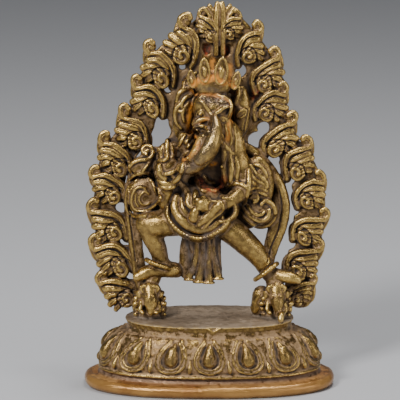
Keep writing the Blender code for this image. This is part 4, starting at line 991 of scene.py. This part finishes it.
def crown_leaf(wax, x, up, wide, tall, y):
    """A pointed leaf of the crown: a rim round a raised oval."""
    slant = 0.008 * x
    wax.boss((x, up, y), (wide, 3, tall), lean=slant)
    rim = []
    for angle in np.linspace(-180, 180, 13):
        a = math.radians(angle)
        pointed = 1 - 0.25 * max(math.cos(a), 0)
        across = x + math.sin(a) * wide * 0.86 * pointed + slant * math.cos(a) * tall
        rim.append((across, up + math.cos(a) * tall * 0.92, y - 2.4, 1.1))
    wax.strand(rim, steps=3)
    wax.strand([
        (x + slant * tall, up + tall * 0.86, y - 1.6, 1.3), (x + slant * tall, up + tall * 1.06, y, 0.8),
    ])
    wax.boss((x, up - tall * 0.12, y - 2.6), (wide * 0.4, 1.7, tall * 0.4), lean=slant)


def anklets(wax):
    """The beaded rings round both ankles."""
    left = [
        (-63, 57, -1), (-61, 56, -8), (-54, 53, -13), (-46, 50.4, -13), (-40.6, 48.4, -8), (-39.6, 48, -1),
    ]
    right = [(46, 37, -1), (48, 38.6, -8), (54, 43, -13), (60.6, 48, -13), (66, 52, -8), (67.6, 53, -1)]
    for rows in (left, right):
        wax.strand([(*p, 2.6) for p in rows])
        wax.beads([(x, up, y - 1.8) for x, up, y in rows], 1.6, 3.2)


# Surface


def edge_pairs(faces):
    """Each edge of the skin once, as pairs of point numbers."""
    edges = edges_of(faces)
    edges.sort(axis=1)
    return np.unique(edges[:, 0] * (faces.max() + 1) + edges[:, 1]), faces.max() + 1


def relaxed(values, pairs, passes):
    """Values at the points, averaged with their neighbours' as many times as passes says."""
    a, b = pairs
    count = np.bincount(a, minlength=len(values)) + np.bincount(b, minlength=len(values))
    flat = values.reshape(len(values), -1).copy()
    for _ in range(passes):
        total = np.empty_like(flat)
        for i in range(flat.shape[1]):
            column = flat[:, i]
            total[:, i] = np.bincount(a, column[b], len(column)) + np.bincount(b, column[a], len(column))
        flat = 0.5 * flat + 0.5 * total / count[:, None]
    return flat.reshape(values.shape)


def normals_of(points, faces):
    across = np.cross(points[faces[:, 2]] - points[faces[:, 0]], points[faces[:, 3]] - points[faces[:, 1]])
    total = np.zeros_like(points)
    for i in range(3):
        for corner in range(4):
            total[:, i] += np.bincount(faces[:, corner], across[:, i], len(points))
    return unit_rows(total)


def sky_seen(points, normals, spacing, looks=64):
    """The share of the light from above and around that reaches each point, past the rest of the casting."""
    seen = np.zeros(len(points))
    total = np.zeros(len(points))
    # The looks spiral from straight above to a little below level. Each sees the foremost points of a grid
    # of cells, and those that lie no deeper behind them than the skin slopes in a cell.
    slope = 2.2
    for k in range(looks):
        height = 1 - 1.25 * (k + 0.5) / looks
        spin = k * math.pi * (3 - math.sqrt(5))
        level = math.sqrt(max(0.0, 1 - height * height))
        towards = np.array([level * math.cos(spin), level * math.sin(spin), height])
        side = np.cross(towards, (0.3, 0.5, 0.81))
        side /= np.linalg.norm(side)
        rise = np.cross(towards, side)
        u = points @ side
        v = points @ rise
        depth = points @ towards
        iu = ((u - u.min()) / spacing).astype(int)
        iv = ((v - v.min()) / spacing).astype(int)
        cell = iu * (iv.max() + 1) + iv
        nearest = np.full(cell.max() + 1, -1e9)
        np.maximum.at(nearest, cell, depth)
        facing = np.clip(normals @ towards, 0, 1)
        seen += facing * (depth > nearest[cell] - slope * spacing)
        total += facing
    return seen / np.maximum(total, 1e-6)


# Squares of the drawing: the grid that finds the front, and how far behind it still counts as front.
FRONT_CELL = 1.2
FRONT_DEPTH = 4.0


class Front:
    """The casting's visible front on the drawing's grid, for marks that are put on as they are seen."""

    def __init__(self, points):
        y = points[:, 1] / UNIT
        x = points[:, 0] / UNIT
        up = ((points[:, 2] - PLATE_TOP) / UNIT + y * VIEW_DROP) * VIEW_SHORTENING
        column, row = ((x + 200) // FRONT_CELL).astype(int), ((up + 200) // FRONT_CELL).astype(int)
        cell = column * 1000 + row
        nearest = np.full(cell.max() + 1, 1e9)
        np.minimum.at(nearest, cell, y)
        self.index = np.nonzero(y - nearest[cell] < FRONT_DEPTH)[0]
        self.x = x[self.index]
        self.up = up[self.index]
        self.size = len(points)

    def touched(self, rows, steps=4):
        """How strongly each point is touched, 0 to 1, along rows of (x, up, radius)."""
        line = smooth_line(rows, steps)
        reach = line[:, 2].max()
        low, high = line[:, :2].min(0) - reach, line[:, :2].max(0) + reach
        near = (self.x > low[0]) & (self.x < high[0]) & (self.up > low[1]) & (self.up < high[1])
        near = np.nonzero(near)[0]
        spot = np.stack([self.x[near], self.up[near]], 1)
        best = np.zeros(len(near))
        for a, b in zip(line, line[1:]):
            run = b[:2] - a[:2]
            share = np.clip((spot - a[:2]) @ run / max(run @ run, 1e-9), 0, 1)
            away = np.linalg.norm(spot - a[:2] - share[:, None] * run, axis=1)
            best = np.maximum(best, 1 - away / (a[2] + (b[2] - a[2]) * share))
        result = np.zeros(self.size)
        result[self.index[near]] = best * best * (3 - 2 * best)
        return result


def cut_lines():
    """Grooves cut with a graver, as (depth in millimetres, rows of (x, height, half width))."""
    cuts = []
    for flames, side in ((FLAMES_LEFT, -1), (FLAMES_RIGHT, 1)):
        for row in flames:
            cuts += flame_cuts(row, side)
    cuts.append((0.4, [(33, 176, 1), (35, 192, 1.1), (40, 212, 1)]))
    cuts.append((0.45, [(-80, 128, 1.1), (-80, 104, 1.1), (-77, 80, 1.2), (-74, 56, 1.1)]))
    cuts.append((0.6, [(69, 128, 1.1), (72, 110, 1.3), (69, 88, 1.4), (62, 70, 1.3), (58, 54, 1.1)]))
    return cuts


# Where pigment, patina and painted shade lie, as rows of (x, height, radius) for each mask.
PAINT = {
    "orange": (
        [(-18, 226, 4), (-12, 234, 5), (-4, 233, 4), (4, 238, 6), (13, 232, 4), (21, 232, 5), (25, 224, 4)],
        [
            (-16, 224, 3), (-10, 220, 2.6), (0, 221, 2.6), (14, 217, 2.6), (22, 211, 3), (22, 198, 3.4),
            (19, 188, 4), (18, 176, 3),
        ],
        [(3, 246, 5), (3, 256, 4)],
        [(20, 250, 4), (20, 238, 4)],
        [(-18, 210, 5), (-20, 196, 5), (-19, 184, 5)],
        [(-15, 193, 3), (-8, 195, 3.4), (-2, 197, 2.6)],
        [(-14, 180, 3), (-12, 170, 3.4), (-19, 160, 3.6), (-26, 156, 3)],
        [(2, 152, 3), (6, 153, 3)],
    ),
    "red": (
        [(-10, 136, 5), (-6, 130, 5), (2, 126, 5), (10, 129, 5), (14, 138, 5)],
        [(-3, 268, 5), (-3, 262, 4)],
        [(16, 268, 5), (16, 261, 4)],
        [(46, 224, 5), (44, 219, 4)],
    ),
    "dark": (
        [(-8, 216, 9), (6, 216, 10), (16, 212, 8)],
        [(4, 200, 8), (2, 185, 9), (-3, 170, 10), (-12, 155, 10), (-24, 143, 8)],
        [(-14, 200, 6), (-12, 186, 6)],
        [(-12, 225, 2.4), (-8, 227, 3.4), (2, 226, 3.6), (12, 223, 3.4), (21, 219, 2.4)],
        # The hanging cloth between the legs: painted shade.
        [(-22, 84, 6), (-20, 60, 8), (-18, 46, 8)],
        [(-4, 84, 6), (-5, 60, 8), (-4, 44, 9)],
        [(7, 80, 4), (7, 60, 5), (10, 44, 5)],
    ),
}


def painted(front, strokes):
    """How strongly each point is touched by the strongest of the strokes."""
    mask = np.zeros(front.size)
    for rows in strokes:
        mask = np.maximum(mask, front.touched(rows))
    return mask


def cast_roughness(points):
    """How far the rough casting stands out at each point, in millimetres."""
    rough, fine, broad = (
        np.array([noise.noise(p / size) for p in map(Vector, points)]) for size in (1.5, 0.6, 7.0)
    )
    z = points[:, 2]
    foot = np.clip((FOOT_HEIGHT - z) / 0.5, 0, 1)
    rock = np.clip((z - PLATE_TOP - 0.6) / 1.5, 0, 1) * np.clip((PLATE_TOP + 12.5 - z) / 3, 0, 1)
    lotus = np.clip((z - FOOT_HEIGHT) / 1.5, 0, 1) * np.clip((PLATE_TOP - 0.3 - z) / 0.5, 0, 1)
    amount = 0.09 + 0.14 * rock + 0.05 * lotus - 0.06 * foot
    return amount * rough + 0.035 * fine * (1 - foot) + (0.06 + 0.1 * foot + 0.12 * rock) * broad


# Smoothing passes that even out the skin, to find how deep a point lies in a fine groove or a broad hollow,
# and the depths in millimetres that count as fully sunk.
FINE_PASSES, BROAD_PASSES = ((8, 40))
GROOVE_DEPTH = 0.12
HOLLOW_DEPTH = 0.45


def make_statue():
    """The casting as one skin: masses, ornament, cut lines, and the masks its metal is coloured by."""
    masses = Wax()
    body_masses(masses)
    rails(masses)
    plate_sheet(masses)
    soft_points, soft_faces = baked(skin("masses", masses, BLEND_VOXEL, BLEND_PASSES))
    wax = Wax()
    wax.add(soft_points, soft_faces.tolist())
    wax.ground = BVHTree.FromPolygons([tuple(p) for p in soft_points], soft_faces.tolist())
    for shape in (pedestal, aureole, rats, sash, drapery, head_ornament, anklets):
        shape(wax)
    points, faces = outer_skin(*baked(skin("rough", wax, VOXEL, SOFTEN_PASSES)))
    keys, base = edge_pairs(faces)
    pairs = (keys // base, keys % base)
    normals = normals_of(points, faces)
    front = Front(points)
    for depth, rows in cut_lines():
        points -= normals * (front.touched(rows) * depth)[:, None]
    points += normals_of(points, faces) * cast_roughness(points)[:, None]
    normals = normals_of(points, faces)
    fine = relaxed(points, pairs, FINE_PASSES)
    broad = relaxed(fine, pairs, BROAD_PASSES)
    masks = {
        "groove": np.einsum("ij,ij->i", fine - points, normals) / GROOVE_DEPTH,
        "hollow": np.einsum("ij,ij->i", broad - points, normals) / HOLLOW_DEPTH,
        "sky": relaxed(sky_seen(points, normals, 2 * VOXEL), pairs, 3),
    }
    for name, strokes in PAINT.items():
        masks[name] = relaxed(painted(front, strokes), pairs, 6)
    made = mesh_object("whole", points, faces, masks)
    thin = made.modifiers.new("Thin", "DECIMATE")
    thin.ratio = min(1.0, PIECES * PIECE_BUDGET / (2 * len(faces)))
    thin.use_collapse_triangulate = True
    apply_modifiers(made)
    made.data.shade_smooth()
    return slices(made)


def slices(whole):
    """The skin as closed slices of about as many triangles each, the lowest filed flat at height zero."""
    heights = np.empty(3 * len(whole.data.vertices))
    whole.data.vertices.foreach_get("co", heights)
    levels = np.quantile(heights[2::3], np.arange(1, PIECES) / PIECES)
    pieces = []
    for k, (low, high) in enumerate(zip([0.0, *levels], [*levels, None])):
        work = bmesh.new()
        work.from_mesh(whole.data)
        cut_level(work, low, clear_inner=True)
        if high is not None:
            cut_level(work, high, clear_outer=True)
        mesh = bpy.data.meshes.new(f"statue_skin_{k + 1}")
        work.to_mesh(mesh)
        work.free()
        pieces.append(placed(mesh.name, mesh))
    bpy.data.objects.remove(whole, do_unlink=True)
    return pieces


def cut_level(work, height, **side):
    """Cuts the skin at a height, drops one side and closes the cut flat."""
    geom = [*work.verts, *work.edges, *work.faces]
    bmesh.ops.bisect_plane(work, geom=geom, dist=1e-7, plane_co=(0, 0, height), plane_no=(0, 0, 1), **side)
    rim = [edge for edge in work.edges if edge.is_boundary]
    facing = (0, 0, -1) if "clear_inner" in side else (0, 0, 1)
    made = bmesh.ops.triangle_fill(work, edges=rim, use_beauty=True, normal=facing)
    for face in made["geom"]:
        if isinstance(face, bmesh.types.BMFace):
            face.smooth = False
            if face.normal.z * facing[2] < 0:
                face.normal_flip()
    for edge in rim:
        edge.smooth = False


def mesh_object(name, points, faces, masks):
    mesh = bpy.data.meshes.new(name)
    mesh.vertices.add(len(points))
    mesh.vertices.foreach_set("co", (points * MM).ravel())
    mesh.loops.add(faces.size)
    mesh.loops.foreach_set("vertex_index", faces.ravel())
    mesh.polygons.add(len(faces))
    mesh.polygons.foreach_set("loop_start", np.arange(0, faces.size, 4))
    mesh.update(calc_edges=True)
    for key, values in masks.items():
        layer = mesh.attributes.new(key, "FLOAT", "POINT")
        layer.data.foreach_set("value", np.clip(values, -4, 4).astype(np.float32))
    return placed(name, mesh)


def apply_modifiers(made):
    graph = bpy.context.evaluated_depsgraph_get()
    mesh = bpy.data.meshes.new_from_object(made.evaluated_get(graph))
    old = made.data
    made.modifiers.clear()
    made.data = mesh
    bpy.data.meshes.remove(old)


# Materials


class Nodes:
    """Short names for building a material's node tree."""

    def __init__(self, name):
        self.material = bpy.data.materials.new(name)
        self.material.use_nodes = True
        self.tree = self.material.node_tree
        self.shader = self.tree.nodes["Principled BSDF"]

    def node(self, kind, **settings):
        made = self.tree.nodes.new(kind)
        for key, value in settings.items():
            setattr(made, key, value)
        return made

    def feed(self, socket, value):
        if isinstance(value, bpy.types.NodeSocket):
            self.tree.links.new(value, socket)
        elif isinstance(value, (tuple, list)) and len(value) == 3 and socket.type == "RGBA":
            socket.default_value = (*value, 1)
        else:
            socket.default_value = value

    def mask(self, name):
        return self.node("ShaderNodeAttribute", attribute_name=name).outputs["Fac"]

    def chain(self, operation, values, clamp=False):
        """Values taken together one after another."""
        result = values[0]
        for value in values[1:]:
            made = self.node("ShaderNodeMath", operation=operation, use_clamp=clamp)
            self.feed(made.inputs[0], result)
            self.feed(made.inputs[1], value)
            result = made.outputs[0]
        return result

    def plus(self, *values, clamp=False):
        return self.chain("ADD", values, clamp)

    def times(self, *values, clamp=False):
        return self.chain("MULTIPLY", values, clamp)

    def highest(self, *values):
        return self.chain("MAXIMUM", values)

    def span(self, value, low, high, to_low=0.0, to_high=1.0):
        """A smooth step from to_low at low to to_high at high."""
        made = self.node("ShaderNodeMapRange", interpolation_type="SMOOTHSTEP")
        for socket, number in zip(made.inputs[:5], (value, low, high, to_low, to_high)):
            self.feed(socket, number)
        return made.outputs[0]

    def mix(self, factor, a, b):
        made = self.node("ShaderNodeMix", data_type="RGBA")
        self.feed(made.inputs[0], factor)
        self.feed(made.inputs[6], a)
        self.feed(made.inputs[7], b)
        return made.outputs[2]

    def noise(self, size_mm, detail=4.0, rough=0.55):
        """Noise with features of about size_mm."""
        made = self.node("ShaderNodeTexNoise")
        self.tree.links.new(self.place(), made.inputs["Vector"])
        made.inputs["Scale"].default_value = 1.0 / (size_mm * MM)
        made.inputs["Detail"].default_value = detail
        made.inputs["Roughness"].default_value = rough
        return made.outputs["Fac"]

    def place(self):
        if not hasattr(self, "coordinates"):
            self.coordinates = self.node("ShaderNodeTexCoord").outputs["Object"]
        return self.coordinates


# Colours of the metal and what lies on it, and of painted shade; pairs are mixed by noise.
METAL = (0.46, 0.29, 0.07), (0.66, 0.45, 0.15)
BROWN = (0.10, 0.055, 0.018), (0.19, 0.115, 0.038)
# Near black: dirt and painted shade in the deepest, least lit hollows.
SHADE_AND_DIRT = (0.012, 0.007, 0.005), (0.045, 0.027, 0.017)
DECK = (0.27, 0.205, 0.145), (0.17, 0.125, 0.085)
LACQUER = (0.24, 0.09, 0.016), (0.42, 0.21, 0.055)
DUST = (0.34, 0.215, 0.11)
ORANGE = (0.66, 0.25, 0.025)
RED = (0.42, 0.07, 0.02)
# Dark patina of the head and trunk, also used as painted shade on the hanging cloth.
DARK_PATINA_AND_SHADE = (0.135, 0.10, 0.08)
WAIST = (0.15, 0.085, 0.06)


def old_bronze():
    """Worn yellow-brown bronze: bright where it is rubbed, with patina, dust and pigment in the hollows,
    and painted shade in the deepest, least lit hollows and on the hanging cloth.
    """
    n = Nodes("old_bronze")
    height = n.node("ShaderNodeSeparateXYZ")
    n.tree.links.new(n.place(), height.inputs[0])

    def level(low, high):
        """A smooth step from 0 at height low to 1 at height high, in millimetres."""
        return n.span(height.outputs[2], low * MM, high * MM)

    coarse, middling, grain = n.noise(9.0), n.noise(2.2), n.noise(0.5, 6.0, 0.7)
    patches = n.span(coarse, 0.35, 0.65)
    # How sunk a place is: fine grooves, broad hollows and what the sky cannot reach, broken up by noise.
    # What the sky cannot reach is painted shade: it darkens the least lit places.
    # The lotus holds dirt between its petals, and the hanging cloth is darkened with painted shade.
    petals = n.times(level(6.5, 8.5), level(23.5, 20.5))
    cloth = n.times(n.mask("dark"), level(62, 54))
    sunk = n.plus(
        n.times(n.mask("groove"), 0.20),
        n.times(n.mask("hollow"), 0.30),
        n.span(n.mask("sky"), 0.95, 0.10, 0.0, 0.70),
        n.span(middling, 0.2, 0.8, -0.14, 0.16),
        n.span(grain, 0.3, 0.7, -0.05, 0.05),
        n.span(coarse, 0.3, 0.7, -0.07, 0.08),
        n.times(petals, 0.17),
        n.times(cloth, 0.26),
    )
    # The most sunk and least lit places turn near black: partly dirt, partly painted shade.
    shade_and_filth = n.span(sunk, 0.34, 0.74)
    metal = n.mix(n.span(grain, 0.3, 0.7), *METAL)
    brown = n.mix(n.span(middling, 0.35, 0.65), *BROWN)
    color = n.mix(n.span(sunk, -0.32, 0.18), metal, brown)
    color = n.mix(shade_and_filth, color, n.mix(patches, *SHADE_AND_DIRT))
    # Grey-brown dust in the middle depths, thickest on the pedestal and round the rats.
    dust = n.times(n.span(sunk, 0.12, 0.30), n.span(sunk, 0.90, 0.50))
    dust = n.times(dust, n.times(n.span(middling, 0.25, 0.6), n.span(grain, 0.30, 0.62, 0.2, 1.0)))
    dust = n.times(dust, n.plus(n.times(level(46, 24), 0.4), 0.6))
    color = n.mix(dust, color, DUST)
    deck = n.times(level(PLATE_TOP - 0.5, PLATE_TOP - 0.2), level(PLATE_TOP + 1.4, PLATE_TOP + 0.3))
    deck = n.times(deck, n.plus(n.span(grain, 0.36, 0.6, 0.3, 0.75), n.span(middling, 0.4, 0.6, 0.0, 0.25)))
    color = n.mix(deck, color, n.mix(patches, *DECK))
    # Old pigment on the head and in the breast.
    orange = n.times(n.mask("orange"), n.span(sunk, -0.3, 0.06))
    orange = n.times(orange, n.span(n.noise(1.2), 0.30, 0.5), clamp=True)
    color = n.mix(orange, color, ORANGE)
    red = n.times(n.mask("red"), n.span(n.noise(1.4), 0.4, 0.6, 0.1, 0.9), clamp=True)
    color = n.mix(red, color, RED)
    # Dark patina on the head and trunk; on the hanging cloth the same mask is painted shade.
    dark = n.times(n.mask("dark"), n.span(middling, 0.3, 0.6, 0.35, 0.85), clamp=True)
    color = n.mix(n.times(dark, 0.88), color, DARK_PATINA_AND_SHADE)
    # The smooth foot is lacquer brown.
    waist = n.times(level(3.6, 4.6), level(7.2, 5.6))
    color = n.mix(n.times(waist, 0.6), color, WAIST)
    foot = level(5.2, 4.0)
    color = n.mix(n.times(foot, 0.85), color, n.mix(patches, *LACQUER))
    cover = n.highest(n.highest(shade_and_filth, deck), n.highest(dust, n.highest(orange, red)))
    bare = n.plus(1.0, n.times(cover, -0.9), clamp=True)
    n.feed(n.shader.inputs["Base Color"], color)
    n.feed(n.shader.inputs["Metallic"], n.times(bare, n.span(foot, 0.0, 1.0, 0.9, 0.5)))
    rough = n.plus(n.span(cover, 0.0, 1.0, 0.27, 0.8), n.span(grain, 0.3, 0.7, -0.05, 0.1))
    n.feed(n.shader.inputs["Roughness"], n.plus(rough, n.times(n.highest(foot, dark), -0.12)))
    bump = n.node("ShaderNodeBump")
    bump.inputs["Distance"].default_value = 0.2 * MM
    bump.inputs["Strength"].default_value = 0.8
    n.tree.links.new(n.plus(n.times(grain, 0.7), n.times(n.noise(1.1), 0.6)), bump.inputs["Height"])
    n.tree.links.new(bump.outputs[0], n.shader.inputs["Normal"])
    return n.material


def plain(name, color, roughness):
    n = Nodes(name)
    n.feed(n.shader.inputs["Base Color"], color)
    n.feed(n.shader.inputs["Roughness"], roughness)
    return n.material


# Stage, light and camera

# The photo: its scale, its size, and where the statue's middle and foot stand in it, in pixels.
PIXELS_PER_MM = 2.8
PICTURE = 400
PHOTO_MIDDLE_X = 209.5
PHOTO_FOOT_Y = 384.4
CAMERA_DISTANCE = 1.0
SENSOR = 36.0


def stage():
    """A grey floor that curves up into a backdrop."""
    reach, bend, rise, half_width = 1.6, 0.5, 2.6, 3.0
    rows = [(-3.0, 0.0), (reach, 0.0)]
    for a in np.linspace(0, math.pi / 2, 16):
        rows.append((reach + bend * math.sin(a), bend * (1 - math.cos(a))))
    rows.append((reach + bend, rise))
    points = [(x, y, z) for y, z in rows for x in (-half_width, half_width)]
    faces = [(2 * i, 2 * i + 1, 2 * i + 3, 2 * i + 2) for i in range(len(rows) - 1)]
    mesh = bpy.data.meshes.new("floor")
    mesh.from_pydata(points, [], faces)
    mesh.shade_smooth()
    floor = placed("floor", mesh)
    floor.location.z = -0.2 * MM
    mesh.materials.append(plain("floor_grey", (0.42, 0.42, 0.43), 0.6))


def softbox(name, energy, place, size, target=(0, 0, 0.07)):
    lamp = bpy.data.lights.new(name, "AREA")
    lamp.shape = "RECTANGLE"
    lamp.size, lamp.size_y = size
    lamp.energy = energy
    made = placed(name, lamp)
    made.location = place
    made.rotation_euler = (Vector(target) - Vector(place)).to_track_quat("-Z", "Y").to_euler()


def lights():
    world = bpy.data.worlds.new("studio")
    bpy.context.scene.world = world
    world.use_nodes = True
    world.node_tree.nodes["Background"].inputs[0].default_value = (0.9, 0.94, 1.0, 1)
    world.node_tree.nodes["Background"].inputs[1].default_value = 0.22
    softbox("key", 9.6, (-0.42, -0.60, 0.62), (0.22, 0.22))
    softbox("fill", 2.6, (0.8, -0.5, 0.30), (0.3, 0.5))
    softbox("top", 5.0, (0.15, 0.05, 0.8), (0.4, 0.2))


def camera():
    made = placed("camera", bpy.data.cameras.new("camera"))
    bpy.context.scene.camera = made
    lens = made.data
    lens.sensor_width = SENSOR
    lens.sensor_fit = "HORIZONTAL"
    lens.lens = SENSOR * CAMERA_DISTANCE / (PICTURE / PIXELS_PER_MM * MM)
    lens.clip_start = 0.05
    sideways = (PICTURE / 2 - PHOTO_MIDDLE_X) / PIXELS_PER_MM * MM
    aim = Vector((sideways, 0.0, (PHOTO_FOOT_Y - PICTURE / 2) / (PIXELS_PER_MM * VIEW_SHORTENING) * MM))
    away = Vector((0, -VIEW_SHORTENING, math.sin(VIEW_ANGLE)))
    made.location = aim + away * CAMERA_DISTANCE
    made.rotation_euler = (-away).to_track_quat("-Z", "Y").to_euler()


camera()
lights()
stage()
bronze = old_bronze()
for piece in make_statue():
    piece.data.materials.append(bronze)
    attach(piece, "root")
    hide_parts("statue")
